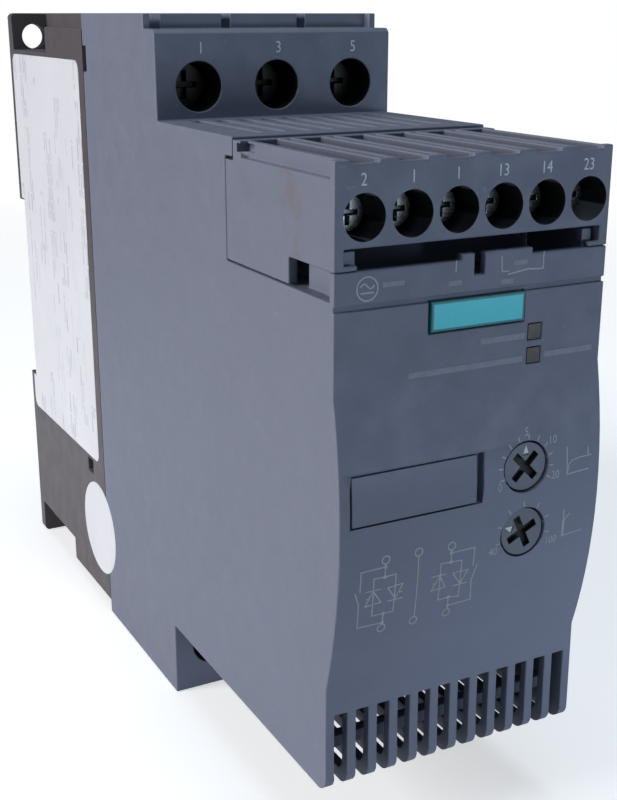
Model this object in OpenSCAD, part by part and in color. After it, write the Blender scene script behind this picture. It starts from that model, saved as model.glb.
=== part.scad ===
// Two-phase soft starter for a squirrel-cage motor, for a 35 mm rail or four panel screws.
// Millimetres. +Z is up, the front faces -Y, and the mounting plane is Y = 0.
// The origin is the centre of the four panel holes. Depths are measured forward from the
// mounting plane, and heights up from the bottom edge.

/* [Overall] */
// Width of the whole device
body_w = 45; // [44:0.5:50]
// Height of the whole device
body_h = 125; // [120:1:140]
// Depth of the front portion, from the front of the terminal housings to the flat front
front_len = 61.5; // [59:0.5:72]
// How far the operating panel bulges past the flat front
bulge = 2; // [1:0.5:3]
// Radius of the bulge, seen from the side
bulge_r = 91; // [80:1:110]
// How far the most forward line of the bulge lies below mid height
bulge_drop = 5.5; // [4:0.5:8.5]
// Distance from that line down to the end of the bulge
bulge_fall = 25.4; // [24.6:0.2:26]

/* [Hood] */
// Wall thickness of the hood
wall = 1.6; // [1.4:0.1:2]
// Depth of the front face of the upper and lower terminal housings
block_d = 91.5; // [90:0.5:96]
// How far the vent deck lies below the top
deck_drop = 17.2; // [16:0.2:18]
// Height of the underside of the front portion
under_h = 14.2; // [13.4:0.2:15]
// Thickness of the vent deck
deck_t = 2; // [1.6:0.2:2.4]
// Number of slots in the vent deck
deck_slots = 9; // [7:1:9]
// Width left beside the outermost deck slots
deck_side = 5.17; // [4.6:0.05:6]
// Width of a vent deck slot
deck_slot_w = 2.1; // [1.6:0.1:2.4]
// Number of slots in the lower front
vent_slots = 12; // [10:1:12]
// Width left beside the outermost lower slots
vent_side = 1.51; // [1.5:0.05:1.8]
// Width of a lower slot
vent_w = 2.15; // [1.8:0.05:2.3]
// Height of the upper end of the lower slots
vent_top_h = 27; // [25:0.5:29]
// Radius of the lower front edge
vent_r = 2.5; // [1.5:0.5:3]
// Depth of the front of the raised caps on the top
cap_d = 85; // [84:0.5:87]
// Height of the raised caps over the ledge in front of them
cap_rise = 2.5; // [2:0.1:3]
// Width of the grooves between the raised caps
cap_gap = 1.6; // [1.2:0.1:2]
// Sideways shift of those grooves from the middle between two poles
cap_shift = 0.7; // [0.4:0.1:0.8]
// Width of the slot beside the left cap
cap_slot = 2.4; // [1.6:0.1:2.4]
// Width of the raised rims at the left and right of the top
rim_w = 1.3; // [1:0.1:1.6]
// Chamfer along the front edge of the top ledge
ledge_chamfer = 0.7; // [0.4:0.1:1]
// How far the groove over the operating panel lies below the vent deck
groove_drop = 19.7; // [19.4:0.1:20.2]
// Depth of that groove
groove_t = 0.5; // [0.3:0.1:0.7]
// Width of that groove
groove_w = 0.7; // [0.5:0.1:0.9]

/* [Base] */
// Depth of the dark base
base_d = 53.2; // [51:0.2:54]
// Gap between base and hood
seam_gap = 0.3; // [0.2:0.1:0.4]
// Wall thickness of the base
base_wall = 2; // [1.8:0.1:2.4]
// Thickness of the back of the base
back_t = 6; // [5.8:0.2:7]
// Thickness of the lips that centre the hood
lip_t = 1.6; // [1.2:0.1:1.8]
// How far those lips reach into the hood
lip_len = 3.8; // [2:0.2:4]
// Side clearance of those lips
lip_gap = 0.3; // [0.2:0.05:0.4]
// Thickness of the fixing lugs
lug_t = 3; // [2.6:0.2:4]
// Width of the pocket in front of a lug
lug_w = 8; // [7.6:0.2:8.4]
// Height of the pocket in front of a lug
lug_h = 7.8; // [7.6:0.1:8.2]
// Depth of the pockets in front of the lugs
pocket_d = 28.5; // [24:0.5:32]
// How far the base's outer walls stay below the top and above the bottom edge
base_step = 2.7; // [2.2:0.1:3.2]
// Corner radius of the lugs
lug_corner_r = 1.2; // [0.6:0.2:3.4]
// Radius of a panel fixing hole
lug_hole_r = 2.7; // [2.2:0.1:2.75]
// Distance of the panel holes from the left and right sides
lug_side = 5; // [4.6:0.1:5.2]
// Distance of the panel holes from the top and bottom edges
lug_end = 5; // [4.8:0.1:5.2]
// Height of the recess for the mounting rail
rail_recess_h = 42; // [40:0.5:44]
// Depth of the recess for the mounting rail
rail_recess_d = 3.6; // [3.4:0.1:4]
// Height of the mounting rail
rail_h = 35; // [34:0.5:35.5]
// Thickness of the fixed hook and the catch tongue behind the rail
hook_t = 2; // [1.6:0.1:2.2]
// How far the fixed hook and the catch tongue reach over the rail
hook_reach = 2; // [1.4:0.1:2.4]
// Width of the fixed hook
hook_w = 32; // [24:1:34]
// Height of the lower edge of the snap slot in each side
snap_h = 29.5; // [29:0.1:30]
// Height of the snap slots
snap_len = 3; // [2.4:0.1:3.4]

/* [Rail catch] */
// Width of the catch
catch_w = 16; // [14:0.5:18]
// How far the flanges of the catch stand out at each side
catch_flange = 2; // [1.5:0.1:2.5]
// Height of the lower end of the catch
catch_low_h = 5.5; // [5.2:0.1:6]
// Travel of the catch
catch_travel = 5; // [4:0.5:5]
// Depth of the groove that the catch runs in
catch_groove_d = 4.9; // [4.7:0.1:5.2]
// Sliding clearance of the catch
catch_gap = 0.2; // [0.15:0.05:0.3]
// Width of the window in the catch that holds its spring
window_w = 5; // [4.6:0.2:6]
// Height of the lower edge of that window
window_low_h = 14; // [13:0.5:15]
// Height of that window
window_len = 20; // [18:0.5:22]
// Height of the peg that the spring stands on
peg_len = 3; // [2:0.5:4]
// Outer radius of the spring
spring_r = 1.5; // [1.3:0.1:1.6]
// Radius of the spring wire
wire_r = 0.25; // [0.2:0.05:0.3]
// Turns of the spring
spring_turns = 7; // [5:1:8]

/* [Main terminals] */
// Width left beside the three poles at each side
pole_side = 0.525; // [0.4:0.025:0.7]
// Distance of the screw axes from the deck above or the underside below
main_off = 5.4; // [5.3:0.1:5.7]
// Radius of the screw access holes
main_hole_r = 4.15; // [4:0.05:4.4]
// Wall thickness of the sleeves behind the access holes
sleeve_t = 1; // [0.8:0.1:1.2]
// Depth at which the screw heads end
main_head_d = 84.5; // [84:0.1:84.8]
// Radius of a screw head
main_head_r = 3.7; // [3.4:0.1:3.8]
// Thickness of a screw head
main_head_t = 3; // [2.6:0.1:3]
// Radius of a screw shank
main_shank_r = 1.95; // [1.8:0.05:2.1]
// Thread clearance between a screw and its clamp cage
thread_gap = 0.08; // [0.05:0.01:0.1]
// Gap between the tip of a terminal screw and its bar, terminal open
tip_gap = 0.2; // [0.1:0.05:0.3]
// Distance between neighbouring clamp cages
cage_space = 3.45; // [3.3:0.05:3.9]
// Height of a clamp cage
cage_h = 9; // [7.8:0.2:9.2]
// Depth at which a clamp cage starts
cage_d = 59; // [58.6:0.1:59.2]
// Thickness of the rear and side walls of a clamp cage
cage_t = 1.6; // [1.3:0.1:1.7]
// Thickness of the threaded front wall of a clamp cage
cage_nut_t = 2.5; // [2:0.1:2.8]
// Inner depth of a clamp cage
cage_inner = 12.9; // [12.7:0.1:13]
// Travel of a clamp cage
cage_travel = 5; // [4:0.2:5]
// Depth at which the copper bars start
bar_d = 66.5; // [66:0.1:66.8]
// Thickness of the copper bars
bar_t = 2; // [1.6:0.1:2.2]
// How much narrower a copper bar is than its clamp cage
bar_space = 3.8; // [3.6:0.1:4.8]
// Width of a wire entry
entry_w = 8; // [7:0.2:8]
// Depth of a wire entry, from front to rear
entry_len = 5.4; // [4.6:0.1:5.6]
// Thickness of the walls between poles
pole_wall = 1.8; // [1.4:0.1:2]

/* [Power section] */
// Distance of the heat sink from the left and right sides
sink_side = 4; // [4:0.25:5.5]
// Height of the lower end of the heat sink
sink_low_h = 14; // [12:0.5:20]
// How far the heat sink ends below the top
sink_drop = 15; // [13:0.5:20]
// Thickness of the heat sink's plate
sink_plate_t = 6; // [4:0.5:7]
// Depth of the heat sink's mounting face
sink_face_d = 50; // [49:0.5:50]
// Number of heat sink fins
sink_fins = 9; // [6:1:10]
// Thickness of a fin
sink_fin_t = 1.6; // [1.2:0.1:2]
// Distance of a thyristor module from the side next to it
module_side = 4.2; // [4:0.1:5]
// Gap between the two thyristor modules
module_gap = 2.6; // [2:0.1:4]
// Depth of a thyristor module
module_t = 14; // [12:0.5:14.5]
// Height of a thyristor module
module_h = 35; // [32:1:38]
// How far the fixing screws of a module lie inwards of its middle
module_screw_in = 5; // [4.5:0.1:5]
// How far they lie from the ends of a module
module_screw_end = 3; // [2.8:0.1:4]
// Radius of a module fixing screw
module_screw_r = 1.5; // [1.2:0.1:1.6]
// Length of the bars' feet on the modules
foot_h = 6; // [5:0.5:7]
// Width of a bypass relay
relay_w = 15; // [13:0.5:16]
// Depth of a bypass relay
relay_t = 22; // [18:0.5:24]
// Height of a bypass relay
relay_h = 28; // [24:1:32]
// How far the relays reach below mid height
relay_drop = 22.5; // [18:0.5:24]
// Distance of the relays from the middle plane
relay_mid = 1.5; // [1:0.1:2]
// Thickness of the circuit boards
board_t = 1.6; // [1.2:0.2:2]
// Distance from the rear of the terminal block back to the power board
power_board_back = 15.3; // [14.5:0.1:17]
// How far the control board lies behind the flat front
control_board_back = 15; // [15:0.5:17]
// Side clearance of the boards
board_gap = 0.3; // [0.2:0.05:0.4]
// Thickness of the guide ribs of the power board
guide_t = 1.8; // [1.4:0.1:2]
// Radius of the board spacers
post_r = 2; // [1.6:0.1:2.2]
// Distance of the spacers from the inner walls
post_side = 4.4; // [4.2:0.1:4.8]
// Radius of a capacitor
capacitor_r = 4; // [3.5:0.1:4.2]
// Length of a capacitor
capacitor_len = 12; // [9:0.5:14]
// Width and height of the transformer
transformer_w = 16; // [14:0.5:18]
// Depth of the transformer, front to rear
transformer_t = 14; // [10:0.5:14]

/* [Control terminals] */
// Width left beside the row of control terminals at each side
ctrl_side = 0.51; // [0.48:0.01:0.6]
// Sideways shift of the row of control terminals
ctrl_shift = 0.3; // [0:0.1:0.3]
// Length of the terminal block, front to rear
ctrl_len = 33.7; // [33.4:0.1:34]
// How far the seam under the terminal block lies below the vent deck
ctrl_drop = 18.8; // [18.6:0.1:19]
// How far the strip in front of the terminal block ends below the vent deck
strip_drop = 14.8; // [14.6:0.1:15.2]
// Thickness of that strip
strip_t = 1.3; // [1.1:0.1:1.5]
// Gap round the terminal block
ctrl_gap = 0.3; // [0.2:0.05:0.35]
// How far the terminal block's top lies below the vent deck
ctrl_top_drop = 0.4; // [0.2:0.1:0.6]
// Travel of the terminal block on its pins
ctrl_travel = 10; // [8:0.5:10]
// How far the foot of the terminal block ends behind the front
foot_back = 13; // [12.6:0.1:15]
// Wall left between two control screw holes
ctrl_rib = 0.97; // [0.95:0.01:1.3]
// How far the control screw axes lie below the vent deck
ctrl_axis_drop = 7.8; // [7.6:0.1:8]
// How far the control screw heads lie behind the front
ctrl_head_back = 4.6; // [3.8:0.1:4.8]
// Clearance round a control screw head
ctrl_head_gap = 0.68; // [0.5:0.02:0.9]
// Thickness of a control screw head
ctrl_head_t = 2; // [1.6:0.1:2.2]
// Clearance round a control screw shank in the block
ctrl_bore_gap = 0.3; // [0.2:0.05:0.4]
// Distance between neighbouring control clamp cages
clamp_space = 1.53; // [1.53:0.01:1.8]
// Height of a control clamp cage
clamp_h = 7.4; // [7:0.1:7.6]
// Distance from the rear of the terminal block to its clamp cages
clamp_off = 3.7; // [3.6:0.1:4]
// Wall thickness of a control clamp cage
clamp_t = 1; // [0.8:0.1:1.1]
// Thickness of its threaded front wall
clamp_nut_t = 2; // [1.6:0.1:2.2]
// Inner depth of a control clamp cage
clamp_inner = 10.6; // [10.4:0.1:10.8]
// Travel of a control clamp cage
clamp_travel = 4; // [3:0.2:4.2]
// Distance from the rear of a clamp cage to its contact strip
contact_off = 6; // [5.8:0.1:6.2]
// Thickness of a contact strip
contact_t = 0.8; // [0.6:0.1:1]
// How much narrower a contact strip is than its clamp cage
contact_space = 2.6; // [2.5:0.1:3]
// Distance between neighbouring wire channels on the top
channel_rib = 3.03; // [2.93:0.05:3.13]
// Depth of the wire channels below the top
channel_t = 3; // [2.6:0.1:3]
// How far the front of a channel lies below the top
channel_lip = 0.5; // [0.3:0.1:0.8]
// Depth, front to rear, of a wire well
well_len = 4.6; // [4.4:0.1:4.8]
// Width of the slit between the double ribs
rib_slit_w = 1.2; // [1:0.1:1.4]
// Width of a header pin
pin_w = 1; // [0.8:0.1:1]
// How far the header pins lie below the vent deck
pin_drop = 14.5; // [14.3:0.1:14.7]
// Clearance of the pins in their sockets
pin_gap = 0.2; // [0.15:0.05:0.25]

/* [Operating panel] */
// Distance of the dial axes from the right side
dial_side = 13.7; // [12.5:0.1:14.5]
// How far the upper dial's axis lies over the most forward line of the bulge
dial_rise = 4.8; // [3:0.1:6.5]
// Distance between the two dials
dial_pitch = 10.3; // [9.8:0.1:11]
// Radius of a dial
dial_r = 3.7; // [3.4:0.1:3.8]
// Gap round a dial
dial_gap = 0.3; // [0.25:0.05:0.4]
// How far a dial's face lies behind the bulge
dial_back = 0.5; // [0.3:0.1:0.8]
// Thickness of a dial
dial_t = 2.2; // [2:0.1:2.6]
// Radius of a dial's shaft
dial_shaft_r = 1.5; // [1.3:0.05:1.6]
// Width of the cross slot in a dial
dial_slot_w = 1.2; // [1:0.1:1.6]
// Length of the cross slot in a dial
dial_slot_len = 5.4; // [4.8:0.1:5.8]
// Depth of the cross slot in a dial
dial_slot_t = 0.9; // [0.6:0.1:1.2]
// Direction of the upper dial's pointer, clockwise from the top
dial_high_turn = 0; // [-90:5:90]
// Direction of the lower dial's pointer, clockwise from the top
dial_low_turn = -70; // [-110:5:90]
// Width of a potentiometer
pot_w = 9.2; // [8.6:0.2:9.6]
// Depth of a potentiometer
pot_t = 6.4; // [6:0.2:7]
// Width and height of an indicator window
led_w = 2.5; // [2.2:0.1:2.8]
// Distance of the indicator windows from the right side
led_side = 12.1; // [11.5:0.1:12.5]
// How far the upper indicator window lies below the groove over the panel
led_drop = 6.5; // [6.3:0.1:6.8]
// Distance between the two indicator windows
led_pitch = 3.5; // [3.2:0.1:4]
// Width of the coloured plate
badge_w = 15.6; // [14:0.2:16]
// Height of the coloured plate
badge_h = 4.2; // [3.8:0.1:4.3]
// Thickness of the coloured plate
badge_t = 1.1; // [1:0.1:1.2]
// How far the coloured plate stands out
badge_proud = 0.3; // [0.2:0.1:0.5]
// Distance of the inscription plate from the left side
tag_side = 2; // [1.9:0.1:3]
// Distance from the inscription plate to the dial axes
tag_dial_gap = 8.7; // [8.4:0.1:9.5]
// Height of the inscription plate
tag_h = 7.2; // [6.6:0.1:7.6]
// How far its middle lies over the most forward line of the bulge
tag_rise = 4.5; // [3:0.1:6]
// Thickness of the inscription plate
tag_t = 1.6; // [1.2:0.1:2]
// Width of the groove round the inscription plate
tag_gap = 0.25; // [0.2:0.05:0.35]
// Width of the finger notch beside the inscription plate
tag_notch_w = 0.9; // [0.6:0.1:1.6]

/* [Labels] */
// Thickness of the labels
label_t = 0.15; // [0.1:0.05:0.25]
// Rear edge of the rating label
label_d = 2; // [1.6:0.1:2.6]
// How far the rating label ends behind the front of the base
label_front = 3.2; // [2.8:0.1:7]
// Height of the lower edge of the rating label
label_h = 33.3; // [32:0.1:35]
// How far the rating label ends below the top
label_drop = 8.7; // [8.7:0.1:14]
// Corner radius of the rating label
label_r = 2; // [1:0.5:3]
// Radius of the round sticker
sticker_r = 10.2; // [9.4:0.1:10.4]
// How far the middle of the round sticker lies behind the front of the base
sticker_back = 5.1; // [4.2:0.1:6]
// Height of the middle of the round sticker
sticker_h = 17.8; // [17:0.1:18.6]

/* [Hidden] */
$fn = 64;

// Colours of the plastics and metals
hood_colour = [0.36, 0.39, 0.47];
base_colour = [0.20, 0.19, 0.20];
board_colour = [0.10, 0.32, 0.18];
copper_colour = [0.78, 0.48, 0.30];
steel_colour = [0.75, 0.75, 0.74];
zinc_colour = [0.66, 0.64, 0.58];
black_colour = [0.09, 0.09, 0.10];
label_colour = [0.90, 0.90, 0.92];
teal_colour = [0.20, 0.56, 0.60];

// How far a cutting solid runs past a face
over = 1;
half_w = body_w / 2;
half_h = body_h / 2;
inner_w = half_w - wall;
front_d = block_d + front_len;

// Heights and depths of the hood
hood_d = base_d + seam_gap;
deck_h = body_h - deck_drop;
ledge_h = body_h - cap_rise;
groove_h = deck_h - groove_drop;
bulge_h = half_h - bulge_drop;
bulge_axis_d = front_d + bulge - bulge_r;
vent_d = bulge_axis_d + sqrt(pow(bulge_r, 2) - pow(bulge_fall, 2));
ctrl_d = front_d - ctrl_len;
bay_d = ctrl_d - ctrl_gap;
strip_d = front_d - strip_t;
deck_pitch = (body_w - 2 * deck_side - deck_slot_w) / (deck_slots - 1);
vent_pitch = (body_w - 2 * vent_side - vent_w) / (vent_slots - 1);
member_rise = 5.3;
member_low_h = under_h + member_rise;
member_t = 2;
member_back = 3;
notch_rise = 6.6;
notch_len = 4.7;
notch_t = 0.8;
notch_d = 1.8;
tab_left_x = -2.6;
tab_right_x = 9.3;
tab_rise = 0.9;
function seam_x(side) = side * main_pitch / 2 + cap_shift;

// Mounting rail and its catch
recess_low_h = half_h - rail_recess_h / 2;
recess_top_h = half_h + rail_recess_h / 2;
rail_low_h = half_h - rail_h / 2;
rail_top_h = half_h + rail_h / 2;
catch_top_h = rail_low_h + hook_reach;
peg_top_h = window_low_h + peg_len;
window_top_h = window_low_h + window_len;
spring_d = catch_groove_d / 2 + 0.05;

// Main terminals
main_poles = [-1, 0, 1];
main_pitch = (body_w - 2 * pole_side) / len(main_poles);
cage_w = main_pitch - cage_space;
bar_w = cage_w - bar_space;
function main_h(top) = top ? deck_h + main_off : under_h - main_off;
main_tip_d = bar_d + bar_t + tip_gap;
chamber_d = cage_d - 1.5;
chamber_front_d = main_head_d + 0.5;
entry_d = cage_d + cage_t + 0.2;
chamber_h = deck_h - 8;
chamber_low_top_h = under_h + 8;
lip_low_h = chamber_low_top_h + 2;
lip_high_h = chamber_h - 3;
lip_root = 3;

// Power section
sink_w = body_w - 2 * sink_side;
sink_high_h = body_h - sink_drop;
module_w = half_w - module_side - module_gap / 2;
module_x = half_w - module_side - module_w / 2;
module_mid_h = half_h;
module_face_d = sink_face_d + module_t;
module_screw_x = module_x - module_screw_in;
module_screw_h = module_h / 2 - module_screw_end;
foot_low_h = module_mid_h + module_h / 2 - foot_h - 3;

// Boards and relays
ctrl_h = deck_h - ctrl_drop;
power_board_d = ctrl_d - power_board_back;
power_board_rise = 1.3;
power_board_low_h = chamber_low_top_h + power_board_rise;
power_board_high_h = chamber_h - 1;
control_board_d = front_d - control_board_back;
control_board_low_h = vent_top_h + 3;
control_board_high_h = ctrl_h - 5;
relay_x = relay_w / 2 + relay_mid;
relay_low_h = half_h - relay_drop;
relay_len = min(relay_t, power_board_d - bar_d - bar_t - 4);
post_x = inner_w - post_side;
post_low_h = control_board_low_h + 4;
post_high_h = control_board_high_h - 10;
transformer_rise = 20.5;
transformer_low_h = power_board_low_h + transformer_rise;
capacitor_drop = 18.8;
capacitor_h = max(power_board_high_h - capacitor_drop,
    transformer_low_h + transformer_w + capacitor_r + 1);
capacitor_side = 5;

// Control terminals
ctrl_count = 6;
ctrl_pitch = (body_w - 2 * ctrl_side) / ctrl_count;
ctrl_top_h = deck_h - ctrl_top_drop;
ctrl_axis_h = deck_h - ctrl_axis_drop;
strip_h = deck_h - strip_drop;
pin_h = deck_h - pin_drop;
foot_d = front_d - foot_back;
clamp_d = ctrl_d + clamp_off;
clamp_w = ctrl_pitch - clamp_space;
strip_bar_d = clamp_d + contact_off;
contact_w = clamp_w - contact_space;
channel_w = ctrl_pitch - channel_rib;
ctrl_hole_r = (ctrl_pitch - ctrl_rib) / 2;
ctrl_head_r = ctrl_hole_r - ctrl_head_gap;
ctrl_shank_r = clamp_w / 4;
ctrl_bore_r = ctrl_shank_r + ctrl_bore_gap;
ctrl_floor_h = ctrl_h + ctrl_gap;
ctrl_under_h = strip_h + 3;
ctrl_head_d = front_d - ctrl_head_back;
ctrl_tip_d = strip_bar_d + contact_t + tip_gap;
ctrl_neck_d = clamp_d + clamp_t + clamp_inner + clamp_nut_t + clamp_travel + ctrl_gap;
ctrl_room_w = clamp_w + 2 * ctrl_gap;
ctrl_room_h = clamp_h + 2 * ctrl_gap;
ctrl_step_d = ctrl_d + 2.9;
ctrl_step_h = deck_h - 3.4;
well_d = clamp_d + clamp_t + 0.2;
pin_tip_d = ctrl_d + 7.7;
socket_d = ctrl_d + 1.2;
socket_len = 8;
socket_wall = 0.6;
socket_w = pin_w + 2 * (pin_gap + socket_wall);
strip_gap = 0.2;
strip_room_w = max(contact_w, socket_w) + 2 * strip_gap;
header_front_d = bay_d - 0.4;
header_side = 1.7;
header_w = ctrl_pitch * (ctrl_count - 1) + 2 * header_side;
header_low = 2.2;
header_high = 2.4;
pocket_wall_t = 1.6;
pocket_wall_side = 2.1;
function ctrl_x(i) = (i - (ctrl_count - 1) / 2) * ctrl_pitch + ctrl_shift;

// Operating panel
dial_x = half_w - dial_side;
dial_high_h = bulge_h + dial_rise;
dial_low_h = dial_high_h - dial_pitch;
led_x = half_w - led_side;
led_high_h = groove_h - led_drop;
led_low_h = led_high_h - led_pitch;
tag_x = -half_w + tag_side;
tag_w = dial_x - tag_dial_gap - tag_x;
tag_mid_h = bulge_h + tag_rise;
dial_face_d = front_d + bulge - dial_back;
pot_face_d = control_board_d + board_t + pot_t;
shaft_end_d = control_board_d + board_t + 2;
tag_back_d = front_d + bulge - tag_t;
badge_x = 0.3;
badge_top_h = groove_h - groove_w / 2;
led_chip_t = 1;

// Labels
label_tall = body_h - label_drop - label_h;
label_len = base_d - label_front - label_d;
sticker_d = base_d - sticker_back;

// A block between two sideways places, two depths and two heights
module slab(x0, x1, d0, d1, h0, h1)
    translate([x0, -d1, h0 - half_h]) cube([x1 - x0, d1 - d0, h1 - h0]);

// The same block, centred sideways on x
module centred(x, w, d0, d1, h0, h1) slab(x - w / 2, x + w / 2, d0, d1, h0, h1);

// A round bar that runs forward from depth d0 to depth d1
module rod(x, h, r, d0, d1)
    translate([x, -d0, h - half_h]) rotate([90, 0, 0]) cylinder(r = r, h = d1 - d0);

// Both of a pair, left and right
module both_sides() {
    children();
    mirror([1, 0, 0]) children();
}

// Both of a pair, above and below the middle
module both_ends() {
    children();
    mirror([0, 0, 1]) children();
}

// Side view of the front portion of the hood, moved in by t from every face
module front_outline(t) {
    low_h = under_h + t + vent_r;
    translate([-(front_d - t), bulge_h - half_h]) square([front_d - t - hood_d, deck_h - t - bulge_h]);
    intersection() {
        translate([-bulge_axis_d, bulge_h - half_h]) circle(r = bulge_r - t, $fn = 180);
        translate([-(front_d + bulge + over), low_h - half_h])
            square([front_d + bulge + over - hood_d, deck_h - t - low_h]);
    }
    translate([-(vent_d - t), low_h - half_h]) square([vent_d - t - hood_d, bulge_h - low_h]);
    translate([-(vent_d - t - vent_r), under_h + t - half_h])
        square([vent_d - t - vent_r - hood_d, vent_r]);
    translate([-(vent_d - t - vent_r), under_h + t + vent_r - half_h]) circle(r = vent_r);
}

// A side view outline, drawn out across the width
module across(w) rotate([90, 0, 90]) linear_extrude(height = w, center = true) children();

// Top of the upper terminal housing, with its chamfered ledge
module upper_block()
    across(body_w)
        polygon([
            [-hood_d, deck_h - over - half_h], [-block_d, deck_h - over - half_h],
            [-block_d, ledge_h - ledge_chamfer - half_h], [-block_d + ledge_chamfer, ledge_h - half_h],
            [-hood_d, ledge_h - half_h],
        ]);

module hood_outside() {
    across(body_w) front_outline(0);
    upper_block();
    slab(-half_w, half_w, hood_d, block_d, 0, under_h + over);
    both_sides() slab(half_w - rim_w, half_w, hood_d, cap_d + 1.5, ledge_h - over, body_h);
    slab(-half_w + rim_w + cap_slot, seam_x(-1) - cap_gap / 2, hood_d, cap_d, ledge_h - over, body_h);
    slab(seam_x(-1) + cap_gap / 2, seam_x(1) - cap_gap / 2, hood_d, cap_d, ledge_h - over, body_h);
    slab(seam_x(1) + cap_gap / 2, half_w - over, hood_d, cap_d, ledge_h - over, body_h);
}

// The space inside the hood, open at the rear
module hood_inside() {
    difference() {
        across(2 * inner_w) front_outline(wall);
        slab(-half_w, half_w, bay_d - wall, front_d + over, ctrl_h - wall, body_h);
        slab(-half_w, half_w, hood_d - over, front_d, deck_h - deck_t, body_h);
        slab(-half_w, half_w, block_d - wall, front_d, 0, under_h + deck_t);
    }
    slab(-inner_w, inner_w, hood_d - over, block_d - wall, wall, body_h - cap_rise - wall);
}

// Walls round the main terminal chambers, above or below
module chamber_walls(top) {
    h0 = top ? chamber_h : wall / 2;
    h1 = top ? ledge_h - wall / 2 : chamber_low_top_h;
    for (s = [-1, 1])
        centred(s * main_pitch / 2, pole_wall, chamber_d - wall, chamber_front_d, h0, h1);
    slab(-inner_w - wall / 2, inner_w + wall / 2, chamber_d - wall, chamber_d, h0, h1);
    for (p = main_poles)
        rod(p * main_pitch, main_h(top), main_hole_r + sleeve_t, chamber_front_d, block_d - wall / 2);
}

// Screw access and wire entry of the main terminals
module main_openings() {
    for (top = [true, false], p = main_poles) {
        x = p * main_pitch;
        rod(x, main_h(top), main_hole_r, chamber_front_d - over, block_d + over);
        centred(x, entry_w, entry_d, entry_d + entry_len,
            top ? ledge_h - 2 * wall : -over, top ? body_h + over : 2 * wall);
    }
}

// Slots in the vent deck and in the lower front
module vent_cuts() {
    for (i = [0 : deck_slots - 1])
        centred((i - (deck_slots - 1) / 2) * deck_pitch, deck_slot_w,
            block_d + over, bay_d - 1.5, deck_h - deck_t - over, deck_h + over);
    for (i = [0 : vent_slots - 1])
        centred((i - (vent_slots - 1) / 2) * vent_pitch, vent_w,
            block_d + over, front_d, under_h - over, vent_top_h);
}

module hood() color(hood_colour) {
    hood_shell();
    // Cross member behind the lower slots
    slab(-inner_w - 0.1, inner_w + 0.1, vent_d - member_back - member_t, vent_d - member_back,
        member_low_h, member_low_h + member_t);
    // Inner walls of the corner pockets
    both_sides() slab(half_w - pocket_wall_side - pocket_wall_t, half_w - pocket_wall_side,
        foot_d + 2, strip_d + 0.1, ctrl_h - 0.1, ctrl_under_h - 0.4);
}

module hood_shell() difference() {
    union() {
        difference() {
            hood_outside();
            hood_inside();
        }
        chamber_walls(true);
        chamber_walls(false);
        // Guide ribs for the power board
        both_sides()
            for (d = [power_board_d - board_gap - guide_t, power_board_d + board_t + board_gap])
                slab(inner_w - 1.5, inner_w + over / 2, d, d + guide_t,
                    control_board_low_h, ctrl_h - 4);
        // Backing of the inscription plate
        slab(-half_w + wall / 2, tag_x + tag_w + 3, tag_back_d - wall, front_d + bulge - wall / 2,
            tag_mid_h - tag_h / 2 - 1.8, tag_mid_h + tag_h / 2 + 1.8);
        // Tab that holds the terminal block
        slab(tab_left_x, tab_right_x, strip_d, front_d, strip_h - over, strip_h + tab_rise);
    }
    // Bay of the terminal block, behind the strip and over it
    slab(-half_w - over, half_w + over, bay_d, strip_d, ctrl_h, ctrl_step_h + 0.5);
    slab(-half_w - over, half_w + over, ctrl_step_d - 0.5, strip_d, ctrl_step_h, body_h);
    slab(-half_w - over, half_w + over, strip_d - over, front_d + over, strip_h + tab_rise, body_h);
    slab(-half_w - over, tab_left_x, strip_d - over / 10, front_d + over, strip_h, strip_h + over);
    slab(tab_right_x, half_w + over, strip_d - over / 10, front_d + over, strip_h, strip_h + over);
    slab(-0.5, 1.2, strip_d - over, front_d + over, strip_h - 2.2, strip_h + over);
    // Way through for the pin header
    centred(ctrl_shift, header_w + 2 * ctrl_gap, bay_d - 2 * wall, bay_d + over / 2,
        pin_h - header_low - ctrl_gap, pin_h + header_high + ctrl_gap);
    main_openings();
    vent_cuts();
    // Groove over the panel
    slab(-half_w - over, half_w + over, front_d - groove_t, front_d + over,
        groove_h - groove_w / 2, groove_h + groove_w / 2);
    // Seats of the plates, windows and dials
    centred(badge_x, badge_w + 2 * tag_gap, front_d + badge_proud - badge_t, front_d + over,
        badge_top_h - badge_h - tag_gap, badge_top_h + tag_gap);
    for (h = [led_high_h, led_low_h])
        centred(led_x, led_w, front_d - 2 * wall, front_d + over, h - led_w / 2, h + led_w / 2);
    for (h = [dial_high_h, dial_low_h])
        rod(dial_x, h, dial_r + dial_gap, front_d - 2 * wall, front_d + bulge + over);
    slab(tag_x - tag_gap, tag_x + tag_w + tag_gap + tag_notch_w, tag_back_d,
        front_d + bulge + over, tag_mid_h - tag_h / 2 - tag_gap, tag_mid_h + tag_h / 2 + tag_gap);
    // Notches at the rear edge, and the seat of the round sticker
    both_sides() slab(half_w - notch_t, half_w + over, hood_d - over, hood_d + notch_d,
        deck_h + notch_rise, deck_h + notch_rise + notch_len);
    sticker(label_t + over, 0.1);
}

// Outline of the base, wall by wall, moved in by t from its faces, from depth d0
module base_steps(t, d0) {
    front = t > 0 ? base_d + over : base_d;
    both_ends() {
        slab(-half_w + lug_w + t, half_w - lug_w - t, d0, front, half_h - over, body_h - t);
        slab(-half_w + t, half_w - t, d0, front, half_h - over, body_h - lug_h - t);
        slab(-half_w + t, half_w - t, pocket_d + t, front, half_h, body_h - base_step - t);
        slab(-half_w + t + base_wall, half_w - t - base_wall, pocket_d + t, front,
            half_h, body_h - t);
    }
}

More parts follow.
